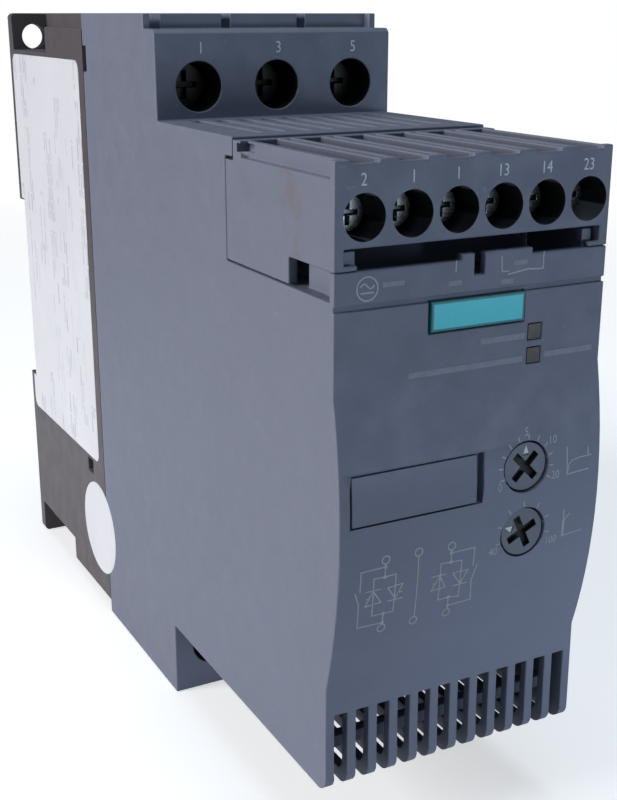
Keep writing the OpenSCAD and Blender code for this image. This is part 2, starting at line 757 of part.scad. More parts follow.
// The four lugs, with rounded corners
module lugs() {
    e = lug_corner_r;
    slab(-half_w + e, half_w - e, 0, lug_t, 0, body_h);
    slab(-half_w, half_w, 0, lug_t, e, body_h - e);
    both_sides() both_ends() rod(half_w - e, body_h - e, e, 0, lug_t);
}

module base() color(base_colour) {
    difference() {
        union() {
            base_steps(0, 0);
            lugs();
            // Lips that centre the hood
            both_sides() slab(inner_w - lip_gap - lip_t, inner_w - lip_gap,
                base_d - lip_root, base_d + lip_len, lip_low_h, lip_high_h);
        }
        difference() {
            base_steps(base_wall, back_t);
            both_sides() slab(inner_w - lip_gap - lip_t, half_w, base_d - lip_root, base_d + 2 * over,
                lip_low_h, lip_high_h);
        }
        both_sides() both_ends()
            rod(half_w - lug_side, body_h - lug_end, lug_hole_r, -over, lug_t + over);
        slab(-half_w - over, half_w + over, -over, rail_recess_d, recess_low_h, recess_top_h);
        // Groove of the catch, wider inside
        centred(0, catch_w + 2 * catch_gap, -over, catch_groove_d, -over, recess_low_h + 2);
        centred(0, catch_w + 2 * catch_flange + 2 * catch_gap, hook_t + 0.8, catch_groove_d,
            -over, recess_low_h + over);
        // Small slot of the snap fastening, and the seats of the labels
        both_sides() slab(half_w - 1.4, half_w + over, base_d - 11, base_d - 7.5,
            snap_h, snap_h + snap_len);
        rating(label_t + over, 0.1);
        sticker(label_t + over, 0.1);
    }
    centred(0, hook_w, 0, hook_t, rail_top_h - hook_reach, recess_top_h + over);
    centred(0, window_w - 2 * catch_gap, 0.6, catch_groove_d + over / 2, window_low_h + 0.1, peg_top_h);
}

module rail_catch() color(base_colour) difference() {
    union() {
        centred(0, catch_w, 0.2, catch_groove_d - catch_gap, catch_low_h, recess_low_h - 0.3);
        centred(0, catch_w, 0.2, hook_t, catch_low_h, catch_top_h);
        centred(0, catch_w + 2 * catch_flange, hook_t + 0.8 + catch_gap,
            catch_groove_d - catch_gap, catch_low_h + catch_travel, recess_low_h - 0.3);
    }
    // Window of the spring, and the eye for a screwdriver
    centred(0, window_w, -over, catch_groove_d + over, window_low_h, window_top_h);
    centred(0, 6, -over, catch_groove_d + over, catch_low_h + 2, catch_low_h + 5);
}

// Points of a ring of the spring wire, and the faces between rings
spring_len = window_top_h - peg_top_h - 0.2;
wire_sides = 8;
turn_steps = 14;
ring_count = spring_turns * turn_steps;
coil_r = spring_r - wire_r;
function coil_h(i) = wire_r + (spring_len - 2 * wire_r) * i / ring_count;
function coil_ring(i) = [
    for (k = [0 : wire_sides - 1])
        let (turn = 360 * i / turn_steps, a = 360 * k / wire_sides, r = coil_r + wire_r * cos(a))
            [r * cos(turn), r * sin(turn), coil_h(i) + wire_r * sin(a)],
];
function coil_faces() = concat(
    [[for (k = [wire_sides - 1 : -1 : 0]) k]],
    [for (i = [0 : ring_count - 1], k = [0 : wire_sides - 1])
        let (n = (k + 1) % wire_sides, a = i * wire_sides, b = a + wire_sides)
            [a + k, a + n, b + n, b + k]],
    [[for (k = [0 : wire_sides - 1]) ring_count * wire_sides + k]]
);

module catch_spring() color(steel_colour)
    translate([0, -spring_d, peg_top_h + 0.1 - half_h])
        polyhedron(points = [for (i = [0 : ring_count]) each coil_ring(i)],
            faces = [for (f = coil_faces()) [for (j = [len(f) - 1 : -1 : 0]) f[j]]]);

// The removable block of control terminals
module block_outside() {
    slab(-half_w, half_w, ctrl_step_d, front_d, ctrl_step_h - over, ctrl_top_h);
    slab(-half_w, half_w, ctrl_d, front_d, ctrl_under_h, ctrl_step_h);
    // Foot that plugs on the pins, and the side skins
    slab(-half_w + 4.2, half_w - 4.2, ctrl_d, foot_d, ctrl_floor_h, ctrl_under_h + over);
    both_sides() slab(half_w - 1.5, half_w, ctrl_d, foot_d, ctrl_floor_h, ctrl_under_h + over);
    // Front posts beside the slot, with their small feet
    both_sides() slab(half_w - 1.5, half_w, foot_d - over, front_d, strip_h + 0.1, ctrl_under_h + over);
    both_sides() slab(half_w - 3.5, half_w, strip_d + 0.1 + ctrl_gap, front_d,
        strip_h + 0.1, strip_h + 0.8);
}

module control_block() color(hood_colour) difference() {
    block_outside();
    for (i = [0 : ctrl_count - 1]) {
        x = ctrl_x(i);
        rod(x, ctrl_axis_h, ctrl_hole_r, ctrl_head_d - ctrl_head_t - ctrl_gap, front_d + over);
        rod(x, ctrl_axis_h, ctrl_bore_r, clamp_d, front_d);
        // Room of the clamp, and the way to the socket
        centred(x, ctrl_room_w, clamp_d - ctrl_gap, ctrl_neck_d,
            ctrl_axis_h - ctrl_room_h / 2, ctrl_axis_h + ctrl_room_h / 2);
        centred(x, strip_room_w, socket_d - 0.3, strip_bar_d + contact_t + 0.3,
            pin_h - 1.5, pin_h + 1.5);
        centred(x, strip_room_w, strip_bar_d - 0.3, strip_bar_d + contact_t + 0.3,
            pin_h, ctrl_axis_h);
        centred(x, socket_w, ctrl_d - over, socket_d,
            pin_h - 1.3, pin_h + 1.3);
        // Wire channel with its well
        centred(x, channel_w, ctrl_step_d + 1.5, front_d - 1.2, ctrl_top_h - channel_t, body_h);
        centred(x, channel_w, front_d - 2, front_d + over, ctrl_top_h - channel_lip, body_h);
        centred(x, channel_w, well_d, well_d + well_len, ctrl_axis_h, body_h);
    }
    // Slits between the double ribs
    for (i = [0 : ctrl_count - 2])
        centred((ctrl_x(i) + ctrl_x(i + 1)) / 2, rib_slit_w, ctrl_step_d + 1.5, front_d - 1.2,
            ctrl_top_h - channel_t + 1, body_h);
    // Shallow channel along each side, with the deeper pocket at its rear
    both_sides()
        slab(half_w - 1.2, half_w + over, ctrl_step_d + 2.6, front_d - 1.4, ctrl_top_h - 2.4, body_h);
    slab(-half_w - over, -half_w + 2, ctrl_step_d + 1.4, ctrl_step_d + 5,
        ctrl_top_h - 1.6, ctrl_top_h - 0.3);
}

// A terminal screw with a cross recess, its tip at depth d0 and its head ending at depth d1
module screw(x, h, d0, d1, shank_r, head_r, head_t) difference() {
    union() {
        rod(x, h, shank_r, d0, d1 - head_t / 2);
        rod(x, h, head_r, d1 - head_t, d1);
    }
    centred(x, 1.3 * head_r, d1 - head_t / 2, d1 + over, h - 0.13 * head_r, h + 0.13 * head_r);
    centred(x, 0.26 * head_r, d1 - head_t / 2, d1 + over, h - 0.65 * head_r, h + 0.65 * head_r);
}

// A clamp cage: a square ring round its bar, with a threaded front wall
module cage(x, h, w, tall, d0, t, inner, nut_t, bore_r) difference() {
    centred(x, w, d0, d0 + t + inner + nut_t, h - tall / 2, h + tall / 2);
    centred(x, w - 2 * t, d0 + t, d0 + t + inner, h - tall, h + tall);
    rod(x, h, bore_r, d0 + t, d0 + t + inner + nut_t + over);
}

module main_screw(pole, top) color(zinc_colour)
    screw(pole * main_pitch, main_h(top), main_tip_d, main_head_d,
        main_shank_r, main_head_r, main_head_t);

module main_cage(pole, top) color(steel_colour)
    cage(pole * main_pitch, main_h(top), cage_w, cage_h, cage_d, cage_t, cage_inner,
        cage_nut_t, main_shank_r + thread_gap);

module control_screw(i) color(steel_colour)
    screw(ctrl_x(i), ctrl_axis_h, ctrl_tip_d, ctrl_head_d, ctrl_shank_r, ctrl_head_r, ctrl_head_t);

module clamp(i) color(zinc_colour)
    cage(ctrl_x(i), ctrl_axis_h, clamp_w, clamp_h, clamp_d, clamp_t, clamp_inner,
        clamp_nut_t, ctrl_shank_r + thread_gap);

// A copper bar from a main terminal to its module
module module_bar(pole, top) color(copper_colour) {
    x = pole * main_pitch;
    mirror([0, 0, top ? 0 : 1]) {
        end_h = top ? main_h(true) + cage_h / 2 + over : body_h - main_h(false) + cage_h / 2 + over;
        centred(x, bar_w, bar_d, bar_d + bar_t, foot_low_h, end_h);
        centred(x, bar_w - 0.4, module_face_d, bar_d + 0.1, foot_low_h, foot_low_h + foot_h);
    }
}

module centre_bar() color(copper_colour)
    centred(0, bar_w, bar_d, bar_d + bar_t, main_h(false) - cage_h / 2 - over,
        main_h(true) + cage_h / 2 + over);

module thyristor(side) color(black_colour) difference() {
    centred(side * module_x, module_w, sink_face_d, module_face_d,
        module_mid_h - module_h / 2, module_mid_h + module_h / 2);
    for (s = [-1, 1])
        rod(side * module_screw_x, module_mid_h + s * module_screw_h,
            module_screw_r + thread_gap, sink_face_d - over, module_face_d + over);
}

module module_screws() color(steel_colour)
    for (side = [-1, 1], s = [-1, 1]) {
        x = side * module_screw_x;
        h = module_mid_h + s * module_screw_h;
        screw(x, h, sink_face_d - 5, module_face_d + 1.6, module_screw_r, 1.8 * module_screw_r, 1.6);
    }

module heat_sink() color(steel_colour) {
    fin_pitch = (sink_w - sink_fin_t) / (sink_fins - 1);
    difference() {
        centred(0, sink_w, sink_face_d - sink_plate_t, sink_face_d, sink_low_h, sink_high_h);
        for (side = [-1, 1], s = [-1, 1])
            rod(side * module_screw_x, module_mid_h + s * module_screw_h,
                module_screw_r + thread_gap, sink_face_d - 5.2, sink_face_d + over);
    }
    for (i = [0 : sink_fins - 1])
        centred((i - (sink_fins - 1) / 2) * fin_pitch, sink_fin_t, back_t + board_gap,
            sink_face_d - sink_plate_t + 0.1, sink_low_h, sink_high_h);
}

module relay(side) color(black_colour) {
    centred(side * relay_x, relay_w, power_board_d - relay_len, power_board_d,
        relay_low_h, relay_low_h + relay_h);
}

module power_board() color(board_colour)
    centred(0, 2 * (inner_w - board_gap), power_board_d, power_board_d + board_t,
        power_board_low_h, power_board_high_h);

// Capacitors and a transformer on the front of the power board
module board_parts() color(black_colour) {
    face = power_board_d + board_t;
    chip_t = 2;
    chip_h = 3;
    chip_pitch = 5;
    for (side = [-1, 1])
        rod(side * (capacitor_r + capacitor_side), capacitor_h, capacitor_r, face, face + capacitor_len);
    centred(0, transformer_w, face, face + transformer_t,
        transformer_low_h, transformer_low_h + transformer_w);
    for (i = [1 : 3])
        centred(-6, 5, face, face + chip_t, power_board_low_h + i * chip_pitch - 0.5,
            power_board_low_h + i * chip_pitch - 0.5 + chip_h);
}

module control_board() color(board_colour)
    centred(0, 2 * (inner_w - board_gap), control_board_d, control_board_d + board_t,
        control_board_low_h, control_board_high_h);

module board_spacers() color(steel_colour)
    for (x = [-post_x, post_x], h = [post_low_h, post_high_h])
        rod(x, h, post_r, power_board_d + board_t, control_board_d);

module header_body() color(black_colour)
    centred(ctrl_shift, header_w, power_board_d + board_t, header_front_d,
        pin_h - header_low, pin_h + header_high);

module header_pins() color(zinc_colour)
    for (i = [0 : ctrl_count - 1])
        centred(ctrl_x(i), pin_w, header_front_d, pin_tip_d, pin_h - pin_w / 2, pin_h + pin_w / 2);

// Contact strip of each control terminal, with the socket of its pin
module contact_strips() color(copper_colour)
    for (i = [0 : ctrl_count - 1]) {
        x = ctrl_x(i);
        out = socket_w / 2;
        difference() {
            centred(x, 2 * out, socket_d, socket_d + socket_len, pin_h - out, pin_h + out);
            centred(x, pin_w + 2 * pin_gap, socket_d - over, socket_d + socket_len + over,
                pin_h - pin_w / 2 - pin_gap, pin_h + pin_w / 2 + pin_gap);
        }
        centred(x, contact_w, socket_d + socket_len - 0.1, strip_bar_d + contact_t,
            pin_h + out - 0.4, pin_h + out);
        centred(x, contact_w, strip_bar_d, strip_bar_d + contact_t, pin_h + out - 0.4,
            ctrl_axis_h + clamp_h / 2);
    }

// A setting dial with its shaft, cross slot and pointer, turned clockwise from the top
module dial(h, turn) color(black_colour) difference() {
    union() {
        rod(dial_x, h, dial_r, dial_face_d - dial_t, dial_face_d);
        rod(dial_x, h, dial_shaft_r, shaft_end_d, dial_face_d - dial_t / 2);
    }
    translate([dial_x, -dial_face_d, h - half_h]) rotate([90, 0, 0])
        for (a = [45, 135]) rotate([0, 0, a - turn])
            translate([0, 0, -dial_slot_t / 2 + over / 2])
                cube([dial_slot_len, dial_slot_w, dial_slot_t + over], center = true);
    translate([dial_x, -dial_face_d, h - half_h]) rotate([90, 0, 0]) rotate([0, 0, -turn])
        translate([0, 0, -0.2]) linear_extrude(height = over)
            polygon([[-0.6, dial_r - 2], [0.6, dial_r - 2], [0, dial_r - 0.4]]);
}

module potentiometer(h) color(teal_colour) difference() {
    centred(dial_x, pot_w, control_board_d + board_t, pot_face_d, h - pot_w / 2, h + pot_w / 2);
    rod(dial_x, h, dial_shaft_r + thread_gap, shaft_end_d - 0.2, pot_face_d + over);
}

module light_guide(h) color([0.30, 0.27, 0.20]) {
    w = led_w - 0.2;
    centred(led_x, w, control_board_d + board_t + led_chip_t + 0.3, front_d - 0.1, h - w / 2, h + w / 2);
}

module indicator_leds() color(label_colour)
    for (h = [led_high_h, led_low_h])
        centred(led_x, 1.6, control_board_d + board_t, control_board_d + board_t + led_chip_t,
            h - 0.8, h + 0.8);

module badge_plate() color(teal_colour)
    centred(badge_x, badge_w, front_d + badge_proud - badge_t, front_d + badge_proud,
        badge_top_h - badge_h, badge_top_h);

module inscription_plate() color(hood_colour) intersection() {
    slab(tag_x, tag_x + tag_w, tag_back_d, front_d + bulge + over,
        tag_mid_h - tag_h / 2, tag_mid_h + tag_h / 2);
    across(body_w) translate([-bulge_axis_d, bulge_h - half_h]) circle(r = bulge_r - 0.05, $fn = 180);
}

// A sheet on the left side, t thick outwards from its seat, grown by g at its edges
module rating(t, g) {
    r = label_r + g;
    d0 = label_d - g;
    d1 = label_d + label_len + g;
    h0 = label_h - g;
    h1 = label_h + label_tall + g;
    translate([-half_w + label_t - t, 0, -half_h]) rotate([90, 0, 90]) linear_extrude(height = t) {
        translate([-d1 + r, h0]) square([d1 - d0 - 2 * r, h1 - h0]);
        translate([-d1, h0 + r]) square([d1 - d0, h1 - h0 - 2 * r]);
        for (d = [d0 + r, d1 - r], h = [h0 + r, h1 - r]) translate([-d, h]) circle(r = r);
    }
}

module sticker(t, g)
    translate([-half_w + label_t - t, -sticker_d, sticker_h - half_h]) rotate([0, 90, 0])
        cylinder(r = sticker_r + g, h = t);

module rating_label() color(label_colour) difference() {
    rating(label_t, 0);
    slab(-half_w - over, -half_w + over, -over, rail_recess_d + 0.4, recess_low_h - 0.4,
        recess_top_h + 0.4);
    sticker(2 * over, 0.2);
}

module round_sticker() color(label_colour) sticker(label_t, 0);

base();
rail_catch();
catch_spring();
hood();
control_block();
rating_label();
round_sticker();
badge_plate();
inscription_plate();
dial(dial_high_h, dial_high_turn);  // dial_ramp_time
dial(dial_low_h, dial_low_turn);  // dial_start_voltage
potentiometer(dial_high_h);  // potentiometer_upper
potentiometer(dial_low_h);  // potentiometer_lower
light_guide(led_high_h);  // light_guide_upper
light_guide(led_low_h);  // light_guide_lower
indicator_leds();
control_board();
board_spacers();
power_board();
board_parts();
header_body();
header_pins();
contact_strips();
relay(-1);  // relay_left
relay(1);  // relay_right
thyristor(-1);  // thyristor_left
thyristor(1);  // thyristor_right
module_screws();
heat_sink();
module_bar(-1, true);  // bar_l1
module_bar(1, true);  // bar_l3
module_bar(-1, false);  // bar_t1
module_bar(1, false);  // bar_t3
centre_bar();  // bar_centre
main_screw(-1, true);  // screw_l1
main_screw(0, true);  // screw_l2
main_screw(1, true);  // screw_l3
main_screw(-1, false);  // screw_t1
main_screw(0, false);  // screw_t2
main_screw(1, false);  // screw_t3
main_cage(-1, true);  // cage_l1
main_cage(0, true);  // cage_l2
main_cage(1, true);  // cage_l3
main_cage(-1, false);  // cage_t1
main_cage(0, false);  // cage_t2
main_cage(1, false);  // cage_t3
control_screw(0);  // control_screw_1
control_screw(1);  // control_screw_2
control_screw(2);  // control_screw_3
control_screw(3);  // control_screw_4
control_screw(4);  // control_screw_5
control_screw(5);  // control_screw_6
clamp(0);  // clamp_1
clamp(1);  // clamp_2
clamp(2);  // clamp_3
clamp(3);  // clamp_4
clamp(4);  // clamp_5
clamp(5);  // clamp_6
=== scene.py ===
import math

import bmesh
import bpy
from bpy.props import FloatProperty, FloatVectorProperty, PointerProperty
from mathutils import Color, Matrix, Vector


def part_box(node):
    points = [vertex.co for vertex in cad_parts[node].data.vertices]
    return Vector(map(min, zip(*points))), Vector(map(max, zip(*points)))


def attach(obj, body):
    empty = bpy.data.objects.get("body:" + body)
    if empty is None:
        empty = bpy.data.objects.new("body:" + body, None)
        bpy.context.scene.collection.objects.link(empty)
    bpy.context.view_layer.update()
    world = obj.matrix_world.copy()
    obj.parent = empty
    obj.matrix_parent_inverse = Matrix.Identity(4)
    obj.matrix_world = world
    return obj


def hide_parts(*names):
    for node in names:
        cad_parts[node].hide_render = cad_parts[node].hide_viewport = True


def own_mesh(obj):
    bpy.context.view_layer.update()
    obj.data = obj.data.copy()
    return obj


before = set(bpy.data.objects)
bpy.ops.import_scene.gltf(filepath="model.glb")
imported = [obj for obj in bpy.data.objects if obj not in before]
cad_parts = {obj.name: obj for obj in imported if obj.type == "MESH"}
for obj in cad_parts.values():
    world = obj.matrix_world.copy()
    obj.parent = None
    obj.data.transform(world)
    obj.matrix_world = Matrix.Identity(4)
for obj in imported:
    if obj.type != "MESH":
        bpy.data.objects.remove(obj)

bl_info = {
    "name": "Soft starter finish",
    "version": (1, 0, 0),
    "blender": (4, 5, 0),
    "location": "3D View > Sidebar > Soft starter",
    "description": "Rounds, prints and finishes the pieces of a soft starter and sets its stage",
    "category": "Object",
}

# A millimetre in metres, in which the scene is built
MM = 0.001

# Places and lengths of the object, in millimetres: across from the middle, depth from the
# back and height from the lower edge
HALF_HEIGHT = 62.5
BLOCK_DEPTH = 91.5
FRONT_DEPTH = 153.0
FOREMOST = 154.999
BULGE_AXIS = 64.0
BULGE_RADIUS = 91.0
BULGE_HEIGHT = 57.0
BULGE_FOOT = 31.6
SIDE_CHANNEL = ((-23.0, -20.0), (122.0, 128.0), (103.5, 107.6))
CHANNEL_DEPTHS = (122.0, 151.5)
CHANNEL_HEIGHTS = (95.0, 106.5)
CHANNEL_HALF_WIDTH = 2.2

# Walls that get painted shade, a darker finish for the shade deep in bores and slots: radius
# round the axis, and between which depths
MAIN_BORE = (4.3, (84.0, 91.2))
CONTROL_BORE = (3.3, (130.0, 152.7))
DIAL_SLOT = (2.9, (153.3, 154.25))

POLES = ("l1", "l2", "l3", "t1", "t2", "t3")
MAIN_SCREWS = tuple("screw_" + pole for pole in POLES)
CONTROL_SCREWS = tuple("control_screw_%d" % number for number in range(1, 7))
CLAMPS = tuple("clamp_%d" % number for number in range(1, 7))

# Rounding of edges: angles in radians, lengths in metres, and shares of the rounding's width
FLAT = math.radians(0.6)
CREASE = math.radians(38.0)
MERGE_GAP = 2e-6
SLIVER = 1e-6
SHORTEST_EDGE = 1.5
ROOM_BESIDE = 2.2
ROUND_SEGMENTS = 2
EVENNESS = 60

# Print, in millimetres: how high it lies, how it is cut, and the shape of its figures
PRINT_LIFT = 0.02
STACK_LIFT = 0.0008
STACK_COUNT = 13
RING_LIFT = 0.0112
DOT_LIFT = 0.0120
CUT_LENGTH = 0.8
RING_SIDES = 28
DOT_SIDES = 12
TICK_START, TICK_END = 4.25, 4.85
CAP_SHARE = 0.70
FIGURE_WIDTH = 0.86
DIAL_FIGURE, CONTROL_FIGURE, MAIN_FIGURE = 1.25, 1.65, 1.9

# Dials with the turn of their arrows from upright, in degrees, and the arrow in millimetres:
# a three-sided plate, stretched and set off the middle
DIALS = (("dial_ramp_time", 0.0), ("dial_start_voltage", -70.0))
POINTER_RADIUS = 0.80
POINTER_THICKNESS = 0.17
POINTER_STRETCH = (0.84, 1.05, 1, 1)
POINTER_PLACE = (0, 2.45, 0)
POINTER_DEPTH = 154.405

# Colours as picked on screen
DUST = (0.62, 0.61, 0.60)
# Painted shade for the walls deep inside the screw bores
BORE_SHADE_TONE = (0.11, 0.11, 0.12)

# Border of the coloured plate: where it ends and where it is full, in metres from the edge
BORDER_END, BORDER_FULL = 0.00042, 0.00030

# Stains: centre and reach in metres, colour and strength
HOOD_STAINS = (
    ((-0.0212, -0.1548, -0.0012), (0.0013, 0.004, 0.0052), (0.36, 0.33, 0.33), 0.6),
)
BLOCK_STAINS = (
    ((-0.0225, -0.1405, 0.0395), (0.004, 0.0050, 0.0052), (0.41, 0.375, 0.35), 0.75),
    ((-0.0225, -0.1428, 0.0325), (0.004, 0.0028, 0.0065), (0.41, 0.375, 0.35), 0.6),
)

# Stage: lamps as name, place, width, height, power and colour; lengths in metres, angles in
# degrees, the lens in millimetres
LAMPS = (
    ("key", (-0.95, 0.02, 0.30), 0.50, 0.50, 10.2, (1.0, 0.985, 0.97)),
    ("front", (0.28, -0.62, -0.02), 0.50, 0.08, 0.92, (0.66, 0.81, 1.0)),
    ("top", (0.05, -0.20, 0.90), 0.50, 0.50, 3.0, (0.78, 0.90, 1.0)),
)
LAMP_AIM = Vector((0, -0.08, 0.0))
SKY_TINT = (0.62, 0.80, 1.0, 1)
SKY_STRENGTH = 0.14
FLOOR_HALF = 3.0
FLOOR_GLOW = 0.50
FLOOR_NEAR, FLOOR_FAR = 0.15, 0.60
CAMERA_PLACE = (-0.09811, -0.28981, 0.06259)
CAMERA_AZIMUTH = -27.73
CAMERA_RISE = 17.40
FOCAL_LENGTH = 55.61
SENSOR_WIDTH = 36
CLIP_START = 0.01

# Where the colour mix node has its two colours and its result
COLOUR_A, COLOUR_B, COLOUR_OUT = 6, 7, 2


def measured(place):
    """A place in metres as (across, depth, height) in millimetres."""
    x, y, z = place / MM
    return x, -y, z + HALF_HEIGHT


def axis_of(node):
    """Place across and height of the axis of a screw or dial."""
    low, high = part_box(node)
    across, depth, height = measured((low + high) / 2)
    return across, height


def bulge_depth(rise):
    """Depth of the panel's bulge, at a distance above or below its middle."""
    return BULGE_AXIS + math.sqrt(max(0.0, BULGE_RADIUS ** 2 - rise ** 2))


def front_depth(height):
    """Depth of the operating panel at a height."""
    lower = bulge_depth(BULGE_HEIGHT - BULGE_FOOT)
    return max(bulge_depth(height - BULGE_HEIGHT),
               FRONT_DEPTH if height > BULGE_HEIGHT else lower)


def laid(point, depth):
    """A drawn point (across, height, lift) laid on a face at a depth, in metres."""
    depth = min(depth + PRINT_LIFT + point.z, FOREMOST)
    return Vector((point.x, -depth, point.y - HALF_HEIGHT)) * MM


def on_panel(point):
    """A drawn point laid on the operating panel."""
    return laid(point, front_depth(point.y))


def on_block(point):
    """A drawn point laid on the front of the upper terminal housing."""
    return laid(point, BLOCK_DEPTH)


def on_strip(point):
    """A drawn point laid on the front of the pull-off terminal block."""
    return laid(point, FRONT_DEPTH)


# Materials


def paint(value):
    """A colour as picked on screen, turned into the shader's linear values."""
    linear = Color(value[:3]).from_srgb_to_scene_linear()
    return (linear.r, linear.g, linear.b, 1.0)


def shaded(value, share):
    """The same colour in the shader's linear values, made darker or lighter by a share."""
    return tuple(share * part for part in paint(value)[:3]) + (1.0,)


def toned(value, share):
    """The same colour as picked on screen, made darker or lighter by a share."""
    return tuple(min(1.0, share * part) for part in value)


def grey(level):
    """A linear grey."""
    return (level, level, level, 1)


class Wiring:
    """The nodes of a material or world under construction."""

    def __init__(self, owner):
        owner.use_nodes = True
        self.tree = owner.node_tree
        self.tree.nodes.clear()

    def feed(self, target, value):
        """Links an input to another node's output, or sets it to a plain value."""
        if isinstance(value, bpy.types.NodeSocket):
            self.tree.links.new(value, target)
        else:
            target.default_value = value

    def add(self, kind, inputs=None, **settings):
        """A new node with its settings, and with its inputs fed."""
        node = self.tree.nodes.new(kind)
        for key, value in settings.items():
            setattr(node, key, value)
        for key, value in (inputs or {}).items():
            self.feed(node.inputs[key], value)
        return node


class Finish(Wiring):
    """One material under construction: its shader and the nodes that feed it."""

    def __init__(self, name):
        self.material = bpy.data.materials.new(name)
        super().__init__(self.material)
        self.shader = self.add("ShaderNodeBsdfPrincipled")
        self.add("ShaderNodeOutputMaterial", {"Surface": self.shader.outputs["BSDF"]})
        self.coords = self.add("ShaderNodeTexCoord").outputs["Object"]

    def shade(self, name, value):
        """Feeds one of the shader's own inputs."""
        self.feed(self.shader.inputs[name], value)

    def placed(self, scale, turn=(0, 0, 0), shift=(0, 0, 0)):
        """The object's coordinates, scaled, turned and shifted."""
        return self.add("ShaderNodeMapping", {
            "Vector": self.coords, "Scale": scale, "Rotation": turn, "Location": shift,
        }).outputs["Vector"]

    def noise(self, scale, detail=2.0, rough=0.5, vector=None):
        """A cloudy pattern between 0 and 1."""
        return self.add("ShaderNodeTexNoise", {
            "Vector": vector or self.coords, "Scale": scale, "Detail": detail,
            "Roughness": rough,
        }).outputs["Fac"]

    def span(self, value, low, high, start=0.0, end=1.0):
        """A value stretched from one range to another, and held at its ends."""
        return self.add("ShaderNodeMapRange", {
            "Value": value, "From Min": low, "From Max": high, "To Min": start, "To Max": end,
        }).outputs["Result"]

    def patches(self, scale, low, high, detail=2.0, rough=0.5, ends=(0.0, 1.0)):
        """Patches of a cloudy pattern: how fine, from which level to which, and their values."""
        return self.span(self.noise(scale, detail, rough), low, high, *ends)

    def combine(self, operation, one, other):
        """Two values taken together by a Math node."""
        return self.add("ShaderNodeMath", {0: one, 1: other},
                        operation=operation).outputs["Value"]

    def product(self, value, *others):
        """Several values multiplied."""
        for other in others:
            value = self.combine("MULTIPLY", value, other)
        return value

    def blend(self, factor, one, other):
        """One colour turning into another as a factor goes from 0 to 1."""
        return self.add("ShaderNodeMix", {"Factor": factor, COLOUR_A: one, COLOUR_B: other},
                        data_type="RGBA").outputs[COLOUR_OUT]

    def overlay(self, amount, value):
        """Lays a colour over the colour so far, by an amount."""
        under = self.shader.inputs["Base Color"].links[0].from_socket
        self.shade("Base Color", self.blend(amount, under, value))

    def parts(self, vector=None):
        """The X, Y and Z of a vector, or of the object's coordinates."""
        return self.add("ShaderNodeSeparateXYZ", {"Vector": vector or self.coords}).outputs

    def facing(self):
        """The X, Y and Z of the way that the surface faces."""
        return self.parts(self.add("ShaderNodeNewGeometry").outputs["Normal"])

    def distance(self, vector=None):
        """The length of a vector, or of the object's coordinates."""
        return self.add("ShaderNodeVectorMath", {0: vector or self.coords},
                        operation="LENGTH").outputs["Value"]

    def bricks(self, axes, width, height, gap, greys, shift=0.0, offset=0.5, smooth=0.1):
        """Rows of bricks along two axes. Greys are those of two bricks and of the gap."""
        parts = self.parts()
        rows = self.add("ShaderNodeCombineXYZ", {"X": parts[axes[0]], "Y": parts[axes[1]]})
        moved = self.add("ShaderNodeVectorMath", {
            0: rows.outputs["Vector"], 1: (shift, shift * 0.7, 0)}, operation="ADD")
        one, other, mortar = (grey(level) for level in greys)
        return self.add("ShaderNodeTexBrick", {
            "Vector": moved.outputs["Vector"], "Color1": one, "Color2": other,
            "Mortar": mortar, "Scale": 1.0, "Mortar Size": gap, "Mortar Smooth": smooth,
            "Brick Width": width, "Row Height": height,
        }, offset=offset).outputs["Color"]

    def relief(self, value, depth, strength):
        """A fine relief in the surface, of a depth in metres."""
        bump = self.add("ShaderNodeBump", {
            "Height": value, "Distance": depth, "Strength": strength})
        self.shade("Normal", bump.outputs["Normal"])


def moulded(name, tint, rough=0.52, grain=0.00002, dust=0.25, scuffs=0.35):
    """Moulded plastic: spark-eroded grain, slight mottling, scuffs and dust on upward faces."""
    finish = Finish(name)
    paler_tone = shaded(tint, 1.45)
    body = finish.blend(finish.patches(38, 0.35, 0.65, 4, 0.6), shaded(tint, 0.98),
                        shaded(tint, 1.02))
    specks = finish.patches(1500, 0.35, 0.65)
    body = finish.blend(finish.product(specks, 0.5), body, shaded(tint, 1.09))
    streaks = finish.noise(1, 6, 0.7, finish.placed((900, 900, 110), (0.4, 0.9, 0.3)))
    wide = finish.patches(60, 0.5, 0.7)
    scuffed = finish.product(finish.span(streaks, 0.64, 0.74), wide, scuffs)
    body = finish.blend(scuffed, body, paler_tone)
    crumbs = finish.patches(760, 0.765, 0.81, 1, 0.3)
    body = finish.blend(finish.product(crumbs, min(1.0, 2 * dust)), body, paler_tone)
    upward = finish.span(finish.facing()["Z"], 0.55, 0.95)
    motes = finish.patches(420, 0.45, 0.68, 8, 0.75)
    settled = finish.product(upward, motes, dust)
    finish.shade("Base Color", finish.blend(settled, body, paint(DUST)))
    finish.shade("Roughness", finish.patches(220, 0.3, 0.7, 3, ends=(rough - 0.06, rough + 0.08)))
    finish.relief(finish.noise(2600, 2, 0.6), grain, 0.5)
    return finish


def bore_shade_finish(name):
    """Painted shade: near-black plastic on the walls deep inside a hole, where little light
    comes.
    """
    return moulded(name, BORE_SHADE_TONE, dust=0, scuffs=0)


def bare_metal(name, tint, rough=0.3, along=(1, 1, 1), tarnish=0.3):
    """Plated or bare metal with drawn lines and a little tarnish."""
    finish = Finish(name)
    finish.shade("Metallic", 1.0)
    drawn = finish.noise(600, 4, 0.6, finish.placed(along))
    cloud = finish.patches(150, 0.45, 0.7, 4, 0.6)
    body = finish.blend(drawn, shaded(tint, 0.85), shaded(tint, 1.1))
    tarnished = finish.blend(finish.product(cloud, tarnish), body, shaded(tint, 0.4))
    finish.shade("Base Color", tarnished)
    finish.shade("Roughness", finish.span(drawn, 0.3, 0.7, rough, rough + 0.15))
    finish.relief(drawn, 0.00001, 0.4)
    return finish


